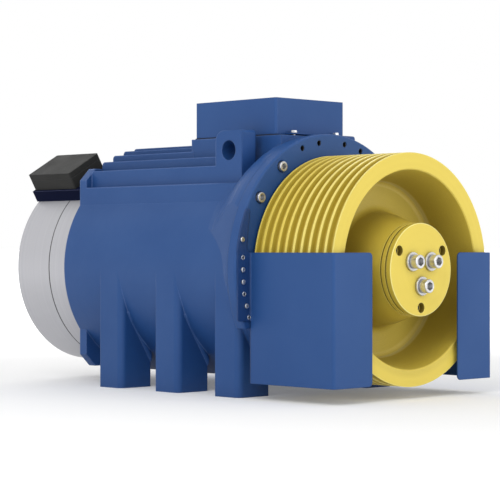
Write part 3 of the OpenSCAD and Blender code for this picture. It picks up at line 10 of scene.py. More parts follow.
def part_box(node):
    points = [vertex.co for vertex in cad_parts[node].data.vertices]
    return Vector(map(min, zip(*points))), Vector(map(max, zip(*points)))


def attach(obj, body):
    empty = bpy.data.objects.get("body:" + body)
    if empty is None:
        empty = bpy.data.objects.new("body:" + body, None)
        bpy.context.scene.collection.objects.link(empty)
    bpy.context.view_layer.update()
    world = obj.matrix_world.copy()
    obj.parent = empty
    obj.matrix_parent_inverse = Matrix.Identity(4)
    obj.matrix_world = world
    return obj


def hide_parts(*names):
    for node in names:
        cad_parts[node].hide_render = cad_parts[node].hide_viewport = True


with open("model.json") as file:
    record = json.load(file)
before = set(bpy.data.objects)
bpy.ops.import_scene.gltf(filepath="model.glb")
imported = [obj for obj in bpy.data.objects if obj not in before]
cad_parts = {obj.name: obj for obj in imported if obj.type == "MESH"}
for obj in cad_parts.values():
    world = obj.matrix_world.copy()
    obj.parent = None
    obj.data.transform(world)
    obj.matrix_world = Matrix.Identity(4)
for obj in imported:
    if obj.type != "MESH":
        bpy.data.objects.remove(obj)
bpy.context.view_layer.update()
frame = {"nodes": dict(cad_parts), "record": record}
nodes = frame["nodes"]
print("frame loaded:", len(nodes), "nodes")

mm = 0.001
weldReach = 0.000002  # metres within which two points are one
sheaveLow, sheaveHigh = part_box("traction_sheave")
shaftHeight = (sheaveLow.z + sheaveHigh.z) / 2


def wire(tree, source, output, target, entry):
    tree.links.new(source.outputs[output], target.inputs[entry])


def addNode(tree, kind, place, sockets=None, **settings):
    # in sockets, a (node, output) pair is linked and anything else is set
    node = tree.nodes.new(kind)
    node.location = place
    for key, value in settings.items():
        setattr(node, key, value)
    for entry, value in (sockets or {}).items():
        if isinstance(value, tuple) and hasattr(value[0], "outputs"):
            wire(tree, *value, node, entry)
        else:
            node.inputs[entry].default_value = value
    return node


def mathNode(tree, operation, place, *values):
    return addNode(tree, "ShaderNodeMath", place, dict(enumerate(values)), operation=operation)


def newGroup(name, kind, inputs, outputs):
    # inputs and outputs are (socket name, socket kind, default) rows
    tree = bpy.data.node_groups.new(name, kind)
    for title, socketKind, default in inputs:
        socket = tree.interface.new_socket(title, in_out="INPUT", socket_type=socketKind)
        if default is not None:
            socket.default_value = default
    for title, socketKind in outputs:
        tree.interface.new_socket(title, in_out="OUTPUT", socket_type=socketKind)
    start = addNode(tree, "NodeGroupInput", (-900, 0))
    end = addNode(tree, "NodeGroupOutput", (900, 0))
    return tree, start, end


floatKind = "NodeSocketFloat"
intKind = "NodeSocketInt"
boolKind = "NodeSocketBool"
turnKind = "NodeSocketRotation"
vectorKind = "NodeSocketVector"
geometryKind = "NodeSocketGeometry"
materialKind = "NodeSocketMaterial"


def buildRoundedEdge():
    # rounds the shading of sharp edges and marks where they are
    tree, start, end = newGroup("roundedEdge", "ShaderNodeTree",
                                [("Radius", floatKind, 0.002)],
                                [("Normal", vectorKind), ("Edge", floatKind)])
    bevel = addNode(tree, "ShaderNodeBevel", (-600, 100), {"Radius": (start, "Radius")}, samples=6)
    surface = addNode(tree, "ShaderNodeNewGeometry", (-600, -150))
    dot = addNode(tree, "ShaderNodeVectorMath", (-350, 0),
                  {0: (bevel, "Normal"), 1: (surface, "Normal")}, operation="DOT_PRODUCT")
    mask = addNode(tree, "ShaderNodeMapRange", (-100, 0),
                   {"From Min": 0.975, "From Max": 0.86, "Value": (dot, "Value")})
    wire(tree, bevel, "Normal", end, "Normal")
    wire(tree, mask, "Result", end, "Edge")
    return tree


def buildCastSkin():
    # the slightly pebbled skin of a painted casting, with broad mottling
    tree, start, end = newGroup("castSkin", "ShaderNodeTree",
                                [("Grain", floatKind, 420.0), ("Mottle", floatKind, 9.0)],
                                [("Height", floatKind), ("Patch", floatKind)])
    place = addNode(tree, "ShaderNodeTexCoord", (-900, -250))
    fine = addNode(tree, "ShaderNodeTexNoise", (-600, 200),
                   {"Detail": 3.0, "Roughness": 0.55, "Scale": (start, "Grain")})
    wave = addNode(tree, "ShaderNodeTexNoise", (-600, -50), {"Scale": 55.0, "Detail": 2.0})
    broad = addNode(tree, "ShaderNodeTexNoise", (-600, -300),
                    {"Detail": 4.0, "Roughness": 0.6, "Scale": (start, "Mottle")})
    for noise in (fine, wave, broad):
        wire(tree, place, "Object", noise, "Vector")
    both = mathNode(tree, "MULTIPLY_ADD", (-300, 100), (wave, "Fac"), 1.6, (fine, "Fac"))
    spread = addNode(tree, "ShaderNodeMapRange", (-300, -250),
                     {"From Min": 0.3, "From Max": 0.7, "Value": (broad, "Fac")})
    wire(tree, both, 0, end, "Height")
    wire(tree, spread, "Result", end, "Patch")
    return tree


def buildShaftPlace():
    # how far a spot lies from the shaft axis, and how far along it
    tree, start, end = newGroup("shaftPlace", "ShaderNodeTree",
                                [("Axis Height", floatKind, shaftHeight)],
                                [("Radius", floatKind), ("Along", floatKind)])
    place = addNode(tree, "ShaderNodeTexCoord", (-1100, -100))
    split = addNode(tree, "ShaderNodeSeparateXYZ", (-900, -150), {"Vector": (place, "Object")})
    up = mathNode(tree, "SUBTRACT", (-700, -250), (split, "Z"), (start, "Axis Height"))
    side = mathNode(tree, "MULTIPLY", (-700, -50), (split, "Y"), (split, "Y"))
    square = mathNode(tree, "MULTIPLY_ADD", (-500, -150), (up, 0), (up, 0), (side, 0))
    radius = mathNode(tree, "SQRT", (-320, -150), (square, 0))
    wire(tree, radius, 0, end, "Radius")
    wire(tree, split, "X", end, "Along")
    return tree


def buildTurnedMarks(shaftPlace):
    # fine rings left by a lathe, round the shaft axis
    tree, start, end = newGroup("turnedMarks", "ShaderNodeTree", [("Rings", floatKind, 900.0)],
                                [("Height", floatKind), ("Streak", floatKind)])
    spot = addNode(tree, "ShaderNodeGroup", (-400, -50), node_tree=shaftPlace)
    along = mathNode(tree, "MULTIPLY_ADD", (-140, -50), (spot, "Along"), 1.31, (spot, "Radius"))
    fine = addNode(tree, "ShaderNodeTexNoise", (60, 150),
                   {"Detail": 2.0, "W": (along, 0), "Scale": (start, "Rings")}, noise_dimensions="1D")
    slow = mathNode(tree, "MULTIPLY", (60, -100), (start, "Rings"), 0.13)
    streak = addNode(tree, "ShaderNodeTexNoise", (260, -100),
                     {"Detail": 3.0, "W": (along, 0), "Scale": (slow, 0)}, noise_dimensions="1D")
    wire(tree, fine, "Fac", end, "Height")
    wire(tree, streak, "Fac", end, "Streak")
    return tree


def buildHollowShade():
    # how deep a spot lies in a corner or hollow, for painted shade
    tree, start, end = newGroup("hollowShade", "ShaderNodeTree",
                                [("Reach", floatKind, 0.02)], [("Hollow", floatKind)])
    nearby = addNode(tree, "ShaderNodeAmbientOcclusion", (-400, 0),
                     {"Distance": (start, "Reach")}, samples=6, only_local=False)
    hollow = addNode(tree, "ShaderNodeMapRange", (-100, 0),
                     {"From Min": 0.95, "From Max": 0.35, "Value": (nearby, "AO")})
    wire(tree, hollow, "Result", end, "Hollow")
    return tree


groups = {"edge": buildRoundedEdge(), "cast": buildCastSkin(), "place": buildShaftPlace(),
          "hollow": buildHollowShade()}
groups["turned"] = buildTurnedMarks(groups["place"])
print("shader groups built")


def placeGroup(tree, name, place, **values):
    return addNode(tree, "ShaderNodeGroup", place, values, node_tree=groups[name])


def mixColor(tree, place, factor, *colors):
    # each colour is three numbers or the (node, output) pair that gives it
    first, second = (color if hasattr(color[0], "outputs") else (*color, 1.0) for color in colors)
    node = addNode(tree, "ShaderNodeMix", place, {0: factor, 6: first, 7: second}, data_type="RGBA")
    return node, 2


def band(of, low, high, soft, amount=1.0, color=None, within=None):
    # a stretch of radius round the shaft or of length along it, in metres
    return {"of": of, "low": low, "high": high, "soft": soft, "amount": amount, "color": color,
            "within": within}


def zoneMask(tree, place, source, zone):
    # 1 inside a band, fading to 0 at its soft ends
    x, y = place
    ends = []
    for drop, outer, inner in ((0, zone["low"] - zone["soft"], zone["low"]),
                               (250, zone["high"] + zone["soft"], zone["high"])):
        ramp = addNode(tree, "ShaderNodeMapRange", (x, y - drop),
                       {"From Min": outer, "From Max": inner, "Value": (source, zone["of"])},
                       interpolation_type="SMOOTHSTEP")
        ends.append((ramp, "Result"))
    both = mathNode(tree, "MULTIPLY", (x + 180, y), *ends)
    if zone["within"]:
        inner = zoneMask(tree, (x - 700, y - 300), source, zone["within"])
        both = mathNode(tree, "MULTIPLY", (x + 260, y - 300), (both, 0), (inner, 0))
    return mathNode(tree, "MULTIPLY", (x + 340, y), (both, 0), zone["amount"])


def finish(name, look):
    # one enamel, metal or plastic from its dictionary
    made = bpy.data.materials.new(name)
    made.use_nodes = True
    tree = made.node_tree
    skin = tree.nodes["Principled BSDF"]
    skin.inputs["Metallic"].default_value = look.get("metallic", 0.0)
    skin.inputs["Specular IOR Level"].default_value = look.get("specular", 0.5)

    edge = placeGroup(tree, "edge", (-900, -300), Radius=look["edgeRadius"])
    if look["pattern"] == "cast":
        pattern = placeGroup(tree, "cast", (-900, 0), Grain=look["grain"], Mottle=look["mottle"])
        patch = (pattern, "Patch")
    else:
        pattern = placeGroup(tree, "turned", (-900, 0), Rings=look["grain"])
        patch = (pattern, "Streak")
    hollow = placeGroup(tree, "hollow", (-900, 300), Reach=look["paintedShadeReach"])

    color = mixColor(tree, (-600, 200), patch, look["color"], look["patchColor"])
    spot = placeGroup(tree, "place", (-1500, 500))
    for index, zone in enumerate(look.get("zones", ())):
        mask = zoneMask(tree, (-1300, 900 + 600 * index), spot, zone)
        color = mixColor(tree, (-500, 500 + 200 * index), (mask, 0), color, zone["color"])
    # painted highlight: sharp edges take the look's lighter edge colour
    highlit = mathNode(tree, "MULTIPLY", (-600, -200), (edge, "Edge"), look["edgeHighlight"])
    if "edgeHighlightZone" in look:
        limit = zoneMask(tree, (-1300, -1300), spot, look["edgeHighlightZone"])
        highlit = mathNode(tree, "MULTIPLY", (-450, -200), (highlit, 0), (limit, 0))
    color = mixColor(tree, (-400, 200), (highlit, 0), color, look["edgeHighlightColor"])
    # painted shade: the look's shade colour goes into corners and recesses
    paintedShade = mathNode(tree, "MULTIPLY", (-600, 400), (hollow, "Hollow"), look["paintedShade"])
    if "paintedShadeZone" in look:
        limit = zoneMask(tree, (-1300, -700), spot, look["paintedShadeZone"])
        paintedShade = mathNode(tree, "MULTIPLY", (-450, 400), (paintedShade, 0), (limit, 0))
    color = mixColor(tree, (-200, 200), (paintedShade, 0), color, look["paintedShadeColor"])
    wire(tree, *color, skin, "Base Color")

    low, high = look["roughness"]
    rough = addNode(tree, "ShaderNodeMapRange", (-400, -50),
                    {"To Min": low, "To Max": high, "Value": patch})
    wire(tree, rough, "Result", skin, "Roughness")

    bump = addNode(tree, "ShaderNodeBump", (-200, -300),
                   {"Strength": look["bumpStrength"], "Distance": look["bumpDepth"],
                    "Height": (pattern, "Height"), "Normal": (edge, "Normal")})
    wire(tree, bump, "Normal", skin, "Normal")
    return made


# in every look below, the shade colour and amount give painted shade in corners and recesses, and the
# edge colour gives painted highlights on sharp edges
blueLook = {
    "color": (0.021, 0.082, 0.262), "patchColor": (0.017, 0.072, 0.240),
    "edgeHighlightColor": (0.11, 0.20, 0.47), "edgeHighlight": 0.85,
    "paintedShadeColor": (0.003, 0.012, 0.05), "paintedShade": 0.2, "paintedShadeReach": 0.035,
    "pattern": "cast", "grain": 300.0, "mottle": 7.0,
    "roughness": (0.42, 0.52), "bumpDepth": 0.0006, "bumpStrength": 0.25, "edgeRadius": 0.004,
    "specular": 0.32,
    # painted highlights on edges show on the ribs and feet, not round the collar
    "edgeHighlightZone": band("Along", -1.0, 0.07, 0.05),
}
sheetLook = dict(blueLook, grain=900.0, bumpDepth=0.0002, bumpStrength=0.15, edgeRadius=0.0024,
                 edgeHighlight=0.12, mottle=5.0)
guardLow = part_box("rope_guard_near")[0]
# the guards' shaded strip lies on the flange
guardLook = dict(sheetLook, zones=[band("Along", guardLow.x - 0.001, guardLow.x + 0.0036, 0.0004, 0.6,
                                        (0.009, 0.034, 0.13))])
# a darker gold, laid on as painted shade
paintedShadeGold = (0.46, 0.34, 0.03)
yellowLook = {
    "color": (0.84, 0.66, 0.105), "patchColor": (0.80, 0.62, 0.095),
    "edgeHighlightColor": (0.95, 0.84, 0.26), "edgeHighlight": 0.6,
    "paintedShadeColor": (0.10, 0.065, 0.008), "paintedShade": 0.55, "paintedShadeReach": 0.11,
    "pattern": "turned", "grain": 700.0, "roughness": (0.34, 0.48),
    "bumpDepth": 0.0003, "bumpStrength": 0.25, "edgeRadius": 0.0012, "specular": 0.4,
    "paintedShadeZone": band("Radius", 0.1, 0.174, 0.02),  # painted shade stays inside the dish
    "zones": [
        band("Radius", 0.148, 0.1555, 0.001, 0.35, (1.0, 0.80, 0.20)),  # painted highlight on the dish's rounded foot
        band("Radius", 0.1553, 0.1565, 0.0007, 0.9, (1.0, 0.88, 0.36)),  # a painted highlight line where its wall starts
        band("Radius", 0.158, 0.1735, 0.0015, 0.36, paintedShadeGold,  # painted shade on the dish's wall
             within=band("Along", 0.0, sheaveHigh.x - 0.003, 0.0005)),
        band("Radius", 0.0795, 0.1, 0.008, 0.5, paintedShadeGold),  # painted shade on the hub's side
        band("Radius", 0.077, 0.0797, 0.0006, 0.9, (0.10, 0.07, 0.005)),  # the hub's joint lines
        band("Radius", 0.203, 0.206, 0.0005, 0.45, (1.0, 0.90, 0.30),  # painted highlight on the lands, palest at the front
             within=band("Along", sheaveHigh.x - 0.09, sheaveHigh.x + 0.05, 0.05)),
        band("Radius", 0.185, 0.2025, 0.0008, 0.85, (0.52, 0.39, 0.045),  # painted shade in the rope grooves
             within=band("Along", 0.0, sheaveHigh.x - 0.0125, 0.0005)),
    ],
}
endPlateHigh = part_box("sheave_end_plate")[1]
hubLook = dict(yellowLook, paintedShade=0.45, paintedShadeReach=0.02, edgeRadius=0.002,
               paintedShadeZone=band("Radius", 0.0, 0.174, 0.02), zones=[
    band("Radius", 0.0797, 0.0806, 0.0004, 0.7, (1.0, 0.95, 0.42)),  # painted highlight on the face's rim
    band("Radius", 0.0809, 0.09, 0.0004, 0.6, paintedShadeGold),  # painted shade on the plate's side
    band("Along", 0.0, endPlateHigh.x - 0.001, 0.0006, 0.7, (0.16, 0.10, 0.02),  # painted shade on the open holes' walls
         within=band("Radius", 0.05, 0.078, 0.001))])
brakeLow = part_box("brake_flange_ring")[0]
drumLook = {
    "color": (0.54, 0.54, 0.57), "patchColor": (0.48, 0.48, 0.51),
    "edgeHighlightColor": (0.85, 0.85, 0.87), "edgeHighlight": 0.6,
    "paintedShadeColor": (0.12, 0.12, 0.13), "paintedShade": 0.5, "paintedShadeReach": 0.012,
    "pattern": "turned", "grain": 1100.0, "roughness": (0.36, 0.5), "metallic": 0.25,
    "bumpDepth": 0.0002, "bumpStrength": 0.25, "edgeRadius": 0.001,
    # the shadowed joint of the drum's two parts
    "zones": [band("Along", brakeLow.x - 0.0012, brakeLow.x + 0.0012, 0.0006, 1.0,
                   (0.05, 0.05, 0.055))],
}
zincLook = {
    "color": (0.64, 0.65, 0.66), "patchColor": (0.58, 0.57, 0.58),
    "edgeHighlightColor": (0.75, 0.75, 0.75), "edgeHighlight": 0.3,
    "paintedShadeColor": (0.12, 0.12, 0.11), "paintedShade": 0.6, "paintedShadeReach": 0.006,
    "pattern": "cast", "grain": 1600.0, "mottle": 120.0,
    "roughness": (0.24, 0.38), "metallic": 0.9,
    "bumpDepth": 0.0001, "bumpStrength": 0.2, "edgeRadius": 0.0005,
}
steelLook = dict(zincLook, color=(0.46, 0.47, 0.49), patchColor=(0.40, 0.41, 0.43), pattern="turned",
                 grain=1500.0, roughness=(0.28, 0.42), metallic=1.0)
oiledLook = dict(steelLook, color=(0.05, 0.045, 0.04), patchColor=(0.03, 0.03, 0.03), metallic=0.6)
copperLook = dict(zincLook, color=(0.55, 0.24, 0.10), patchColor=(0.46, 0.19, 0.08),
                  roughness=(0.3, 0.45), metallic=0.9)
brassLook = dict(zincLook, color=(0.66, 0.50, 0.20), patchColor=(0.60, 0.44, 0.17), metallic=0.95)
plasticLook = {
    "color": (0.038, 0.038, 0.036), "patchColor": (0.031, 0.031, 0.030),
    "edgeHighlightColor": (0.09, 0.09, 0.09), "edgeHighlight": 0.5, "specular": 0.12,
    "paintedShadeColor": (0.02, 0.02, 0.02), "paintedShade": 0.4, "paintedShadeReach": 0.01,
    "pattern": "cast", "grain": 1500.0, "mottle": 14.0,
    "roughness": (0.6, 0.72), "bumpDepth": 0.0003, "bumpStrength": 0.4, "edgeRadius": 0.0022,
}
# the bracket's blue is painted near black as painted shade on its downward face, and its edge colour is
# a painted highlight on the lip
bracketLook = dict(sheetLook, color=(0.004, 0.006, 0.026), patchColor=(0.003, 0.005, 0.022),
                   edgeHighlightColor=(0.10, 0.11, 0.2), edgeRadius=0.0025, edgeHighlight=0.8, specular=0.06,
                   roughness=(0.75, 0.85))
rubberLook = dict(plasticLook, color=(0.03, 0.03, 0.03), patchColor=(0.024, 0.024, 0.024),
                  roughness=(0.7, 0.8))
liningLook = dict(plasticLook, color=(0.10, 0.085, 0.07), patchColor=(0.06, 0.055, 0.05),
                  mottle=160.0, roughness=(0.75, 0.9))
magnetLook = dict(plasticLook, color=(0.27, 0.27, 0.28), patchColor=(0.22, 0.22, 0.23),
                  roughness=(0.35, 0.45))

finishes = {
    "blue_enamel": finish("blueCastEnamel", blueLook),
    "blue_sheet": finish("blueSheetEnamel", sheetLook),
    "guard_sheet": finish("blueGuardEnamel", guardLook),
    "shaded_bracket_sheet": finish("shadeDarkenedBracketEnamel", bracketLook),
    "yellow_enamel": finish("yellowHubEnamel", hubLook),
    "yellow_sheave": finish("yellowSheaveEnamel", yellowLook),
    "grey_casting": finish("paleDrumSatin", drumLook),
    "zinc_plated": finish("zincPlate", zincLook),
    "bare_steel": finish("machinedSteel", steelLook),
    "oiled_steel": finish("oiledSteel", oiledLook),
    "copper_winding": finish("varnishedCopper", copperLook),
    "bearing_brass": finish("machinedBrass", brassLook),
    "black_plastic": finish("matteDarkPlastic", plasticLook),
    "rubber_seal": finish("sealRubber", rubberLook),
    "friction_lining": finish("bondedLining", liningLook),
    "magnet_coating": finish("magnetEpoxy", magnetLook),
}
sheetNodes = {"rope_guard_near": "guard_sheet", "rope_guard_far": "guard_sheet",
              "terminal_box": "blue_sheet", "brake_box_bracket": "shaded_bracket_sheet"}
slotOf = {part["node"]: part["material_slot"] for part in frame["record"]["subparts"]}


def dressNode(name):
    piece = nodes[name]
    chosen = finishes[sheetNodes.get(name, slotOf[name])]
    piece.data.materials.clear()
    piece.data.materials.append(chosen)


for nodeName in nodes:
    dressNode(nodeName)
print("finishes on", len(nodes), "nodes")


bodies = frame["record"]["behaviour"]["bodies"]
bodyOf = {part: body for body, parts in bodies.items() for part in parts}
sharpAngle = 28  # degrees from which an edge stays sharp


def socketId(tree, title):
    for item in tree.interface.items_tree:
        if item.item_type == "SOCKET" and item.in_out == "INPUT" and item.name == title:
            return item.identifier
    raise KeyError(title)


def grow(name, base, tree, values):
    # evaluates a tree on a base mesh and keeps what it makes as a plain mesh
    piece = bpy.data.objects.new(name, base)
    bpy.context.collection.objects.link(piece)
    growth = piece.modifiers.new("growth", "NODES")
    growth.node_group = tree
    for title, value in values.items():
        growth[socketId(tree, title)] = value
    evaluated = piece.evaluated_get(bpy.context.evaluated_depsgraph_get())
    grown = bpy.data.meshes.new_from_object(evaluated)
    piece.modifiers.clear()
    piece.data = grown
    grown.name = name
    shape = bmesh.new()
    shape.from_mesh(grown)
    bmesh.ops.recalc_face_normals(shape, faces=shape.faces)
    shape.to_mesh(grown)
    shape.free()
    grown.shade_smooth()
    grown.set_sharp_from_angle(angle=math.radians(sharpAngle))
    return piece


def settle(piece, standsFor):
    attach(piece, bodyOf[standsFor])
    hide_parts(standsFor)


def settleOnShaft(piece, standsFor):
    # a body made from x = 0 on, moved to the node's rear end and the shaft's height
    piece.data.transform(Matrix.Translation((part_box(standsFor)[0].x, 0, shaftHeight)))
    settle(piece, standsFor)


def sweptOutline(tree, start, outline, place):
    # turns an edge outline of (radius, along) points into a closed body about Z
    x, y = place
    core = 0.05  # radius of the circle that it is swept along
    shift = addNode(tree, "GeometryNodeTransform", (x, y),
                    {"Translation": (-core, 0, 0), "Scale": (1, -1, 1), "Geometry": outline})
    curve = addNode(tree, "GeometryNodeMeshToCurve", (x + 180, y), {"Mesh": (shift, "Geometry")})
    circle = addNode(tree, "GeometryNodeCurvePrimitiveCircle", (x + 180, y - 180),
                     {"Radius": core, "Resolution": (start, "Segments")})
    sweep = addNode(tree, "GeometryNodeCurveToMesh", (x + 360, y),
                    {"Curve": (circle, "Curve"), "Profile Curve": (curve, "Curve")})
    weld = addNode(tree, "GeometryNodeMergeByDistance", (x + 540, y),
                   {"Distance": weldReach, "Geometry": (sweep, "Mesh")})
    return weld


def finishTree(tree, source, start, end):
    flat = addNode(tree, "GeometryNodeRealizeInstances", (900, 0), {"Geometry": source})
    paint = addNode(tree, "GeometryNodeSetMaterial", (1080, 0),
                    {"Geometry": (flat, "Geometry"), "Material": (start, "Finish")})
    end.location = (1260, 0)
    wire(tree, paint, "Geometry", end, "Geometry")
    return tree


def newGrowth(name, *inputs):
    # a geometry tree takes its base mesh first and its finish last
    return newGroup(name, "GeometryNodeTree",
                    [("Geometry", geometryKind, None), *inputs, ("Finish", materialKind, None)],
                    [("Geometry", geometryKind)])


def buildRingedBody():
    # a turned body about X whose outline repeats one stretch, such as a rope groove
    tree, start, end = newGrowth("ringedBody", ("Ring Count", intKind, 10),
                                 ("Ring Pitch", floatKind, 0.0185), ("Segments", intKind, 192),
                                 ("Hole Circle", floatKind, 0.066), ("Hole Radius", floatKind, 0.007),
                                 ("Hole Floor", floatKind, 0.0))
    repeats = addNode(tree, "GeometryNodeInputNamedAttribute", (-900, -250),
                      {"Name": "repeats"}, data_type="BOOLEAN")
    parts = addNode(tree, "GeometryNodeSeparateGeometry", (-700, 0),
                    {"Geometry": (start, "Geometry"), "Selection": (repeats, "Attribute")})
    step = addNode(tree, "ShaderNodeCombineXYZ", (-900, -450), {"Y": (start, "Ring Pitch")})
    line = addNode(tree, "GeometryNodeMeshLine", (-700, -300),
                   {"Count": (start, "Ring Count"), "Offset": (step, "Vector")})
    copies = addNode(tree, "GeometryNodeInstanceOnPoints", (-500, -100),
                     {"Points": (line, "Mesh"), "Instance": (parts, "Selection")})
    real = addNode(tree, "GeometryNodeRealizeInstances", (-320, -100),
                   {"Geometry": (copies, "Instances")})
    joined = addNode(tree, "GeometryNodeJoinGeometry", (-140, 0))
    wire(tree, real, "Geometry", joined, "Geometry")
    wire(tree, parts, "Inverted", joined, "Geometry")
    weld = addNode(tree, "GeometryNodeMergeByDistance", (-140, 150),
                   {"Distance": weldReach, "Geometry": (joined, "Geometry")})
    body = sweptOutline(tree, start, (weld, "Geometry"), (0, 150))

    # three holes bored from the front down to their floor, by drills one metre long
    ring = addNode(tree, "GeometryNodeMeshCircle", (0, -300),
                   {"Vertices": 3, "Radius": (start, "Hole Circle")})
    drill = addNode(tree, "GeometryNodeMeshCylinder", (0, -500),
                    {"Vertices": 40, "Depth": 1.0, "Radius": (start, "Hole Radius")})
    middle = mathNode(tree, "ADD", (0, -750), (start, "Hole Floor"), 0.5)
    height = addNode(tree, "ShaderNodeCombineXYZ", (180, -700), {"Z": (middle, 0)})
    drills = addNode(tree, "GeometryNodeInstanceOnPoints", (200, -400),
                     {"Points": (ring, "Mesh"), "Instance": (drill, "Mesh")})
    raised = addNode(tree, "GeometryNodeTransform", (380, -400),
                     {"Geometry": (drills, "Instances"), "Translation": (height, "Vector")})
    cutters = addNode(tree, "GeometryNodeRealizeInstances", (540, -400),
                      {"Geometry": (raised, "Geometry")})
    bored = addNode(tree, "GeometryNodeMeshBoolean", (620, 0),
                    {"Mesh 1": (body, "Geometry"), "Mesh 2": (cutters, "Geometry")},
                    operation="DIFFERENCE", solver="MANIFOLD")
    turned = addNode(tree, "GeometryNodeTransform", (760, 0),
                     {"Rotation": (0, math.pi / 2, 0), "Geometry": (bored, "Mesh")})
    return finishTree(tree, (turned, "Geometry"), start, end)


def buildTurnedSet():
    # one turned outline, copied to every loose point, with a hexagon cut in, cut round or left out
    tree, start, end = newGrowth("turnedSet", ("Segments", intKind, 48),
                                 ("Key Width", floatKind, 0.01), ("Key Floor", floatKind, 0.005),
                                 ("Socket", boolKind, False), ("Hexagon", boolKind, False),
                                 ("Facing", turnKind, None), ("Seed", intKind, 3))
    outlined = addNode(tree, "GeometryNodeInputNamedAttribute", (-900, -250),
                       {"Name": "outline"}, data_type="BOOLEAN")
    parts = addNode(tree, "GeometryNodeSeparateGeometry", (-700, 0),
                    {"Geometry": (start, "Geometry"), "Selection": (outlined, "Attribute")})
    body = sweptOutline(tree, start, (parts, "Selection"), (-500, 200))

    # the hexagon stands on the key floor and passes the head's top
    corner = mathNode(tree, "DIVIDE", (-500, -200), (start, "Key Width"), math.sqrt(3))
    middle = mathNode(tree, "ADD", (-500, -350), (start, "Key Floor"), 0.25)
    prism = addNode(tree, "GeometryNodeMeshCylinder", (-300, -250),
                    {"Vertices": 6, "Depth": 0.5, "Radius": (corner, 0)})
    height = addNode(tree, "ShaderNodeCombineXYZ", (-300, -500), {"Z": (middle, 0)})
    raised = addNode(tree, "GeometryNodeTransform", (-100, -250),
                     {"Geometry": (prism, "Mesh"), "Translation": (height, "Vector")})
    socket = addNode(tree, "GeometryNodeMeshBoolean", (120, 50),
                     {"Mesh 1": (body, "Geometry"), "Mesh 2": (raised, "Geometry")},
                     operation="DIFFERENCE", solver="MANIFOLD")
    hexagon = addNode(tree, "GeometryNodeMeshBoolean", (120, -150),
                      operation="INTERSECT", solver="MANIFOLD")
    wire(tree, body, "Geometry", hexagon, "Mesh 2")
    wire(tree, raised, "Geometry", hexagon, "Mesh 2")
    first = addNode(tree, "GeometryNodeSwitch", (300, 100),
                    {"Switch": (start, "Socket"), "False": (body, "Geometry"),
                     "True": (socket, "Mesh")}, input_type="GEOMETRY")
    second = addNode(tree, "GeometryNodeSwitch", (460, 50),
                     {"Switch": (start, "Hexagon"), "False": (first, "Output"),
                      "True": (hexagon, "Mesh")}, input_type="GEOMETRY")

    # every copy is turned about its own axis by a chance angle
    chance = addNode(tree, "FunctionNodeRandomValue", (300, -350),
                     {3: 2 * math.pi, "Seed": (start, "Seed")}, data_type="FLOAT")
    twist = addNode(tree, "FunctionNodeAxisAngleToRotation", (460, -350),
                    {"Axis": (0, 0, 1), "Angle": (chance, 1)})
    pose = addNode(tree, "FunctionNodeRotateRotation", (620, -300),
                   {0: (start, "Facing"), 1: (twist, "Rotation")}, rotation_space="LOCAL")
    copies = addNode(tree, "GeometryNodeInstanceOnPoints", (700, 0),
                     {"Points": (parts, "Inverted"), "Instance": (second, "Output"),
                      "Rotation": (pose, 0)})
    return finishTree(tree, (copies, "Instances"), start, end)


def buildRibRing():
    # small upright ribs on a circle, one circle round each loose point
    tree, start, end = newGrowth("ribRing", ("Count", intKind, 24), ("Circle", floatKind, 0.01),
                                 ("Rib Radius", floatKind, 0.001), ("Rib Base", floatKind, 0.0),
                                 ("Rib Length", floatKind, 0.004), ("Facing", turnKind, None))
    ring = addNode(tree, "GeometryNodeMeshCircle", (-700, 100),
                   {"Vertices": (start, "Count"), "Radius": (start, "Circle")})
    rib = addNode(tree, "GeometryNodeMeshCylinder", (-700, -100),
                  {"Vertices": 10, "Radius": (start, "Rib Radius"), "Depth": (start, "Rib Length")})
    middle = mathNode(tree, "MULTIPLY_ADD", (-700, -400),
                      (start, "Rib Length"), 0.5, (start, "Rib Base"))
    height = addNode(tree, "ShaderNodeCombineXYZ", (-500, -400), {"Z": (middle, 0)})
    ribs = addNode(tree, "GeometryNodeInstanceOnPoints", (-450, 50),
                   {"Points": (ring, "Mesh"), "Instance": (rib, "Mesh")})
    raised = addNode(tree, "GeometryNodeTransform", (-250, 0),
                     {"Geometry": (ribs, "Instances"), "Translation": (height, "Vector")})
    whole = addNode(tree, "GeometryNodeRealizeInstances", (-50, 0), {"Geometry": (raised, "Geometry")})
    copies = addNode(tree, "GeometryNodeInstanceOnPoints", (150, 0),
                     {"Points": (start, "Geometry"), "Instance": (whole, "Geometry"),
                      "Rotation": (start, "Facing")})
    return finishTree(tree, (copies, "Instances"), start, end)


ringedBody = buildRingedBody()
turnedSet = buildTurnedSet()
ribRing = buildRibRing()
print("geometry trees built")


def arcPoints(centerRadius, centerAlong, radius, first, last, steps):
    angles = [math.radians(first + (last - first) * step / steps) for step in range(steps + 1)]
    return [(centerRadius + radius * math.cos(a), centerAlong + radius * math.sin(a)) for a in angles]


def outlineMesh(name, flag, stretches, places=()):
    # edge chains of (radius, along) points in millimetres; the first chain carries the flag
    points, edges, marks = [], [], []
    for index, (chain, closed) in enumerate(stretches):
        base = len(points)
        points += [(radius * mm, along * mm, 0) for radius, along in chain]
        marks += [index == 0] * len(chain)
        edges += [(base + step, base + step + 1) for step in range(len(chain) - 1)]
        if closed:
            edges.append((base + len(chain) - 1, base))
    points += list(places)
    marks += [False] * len(places)
    mesh = bpy.data.meshes.new(name)
    mesh.from_pydata(points, edges, [])
    layer = mesh.attributes.new(flag, "BOOLEAN", "POINT")
    layer.data.foreach_set("value", marks)
    return mesh


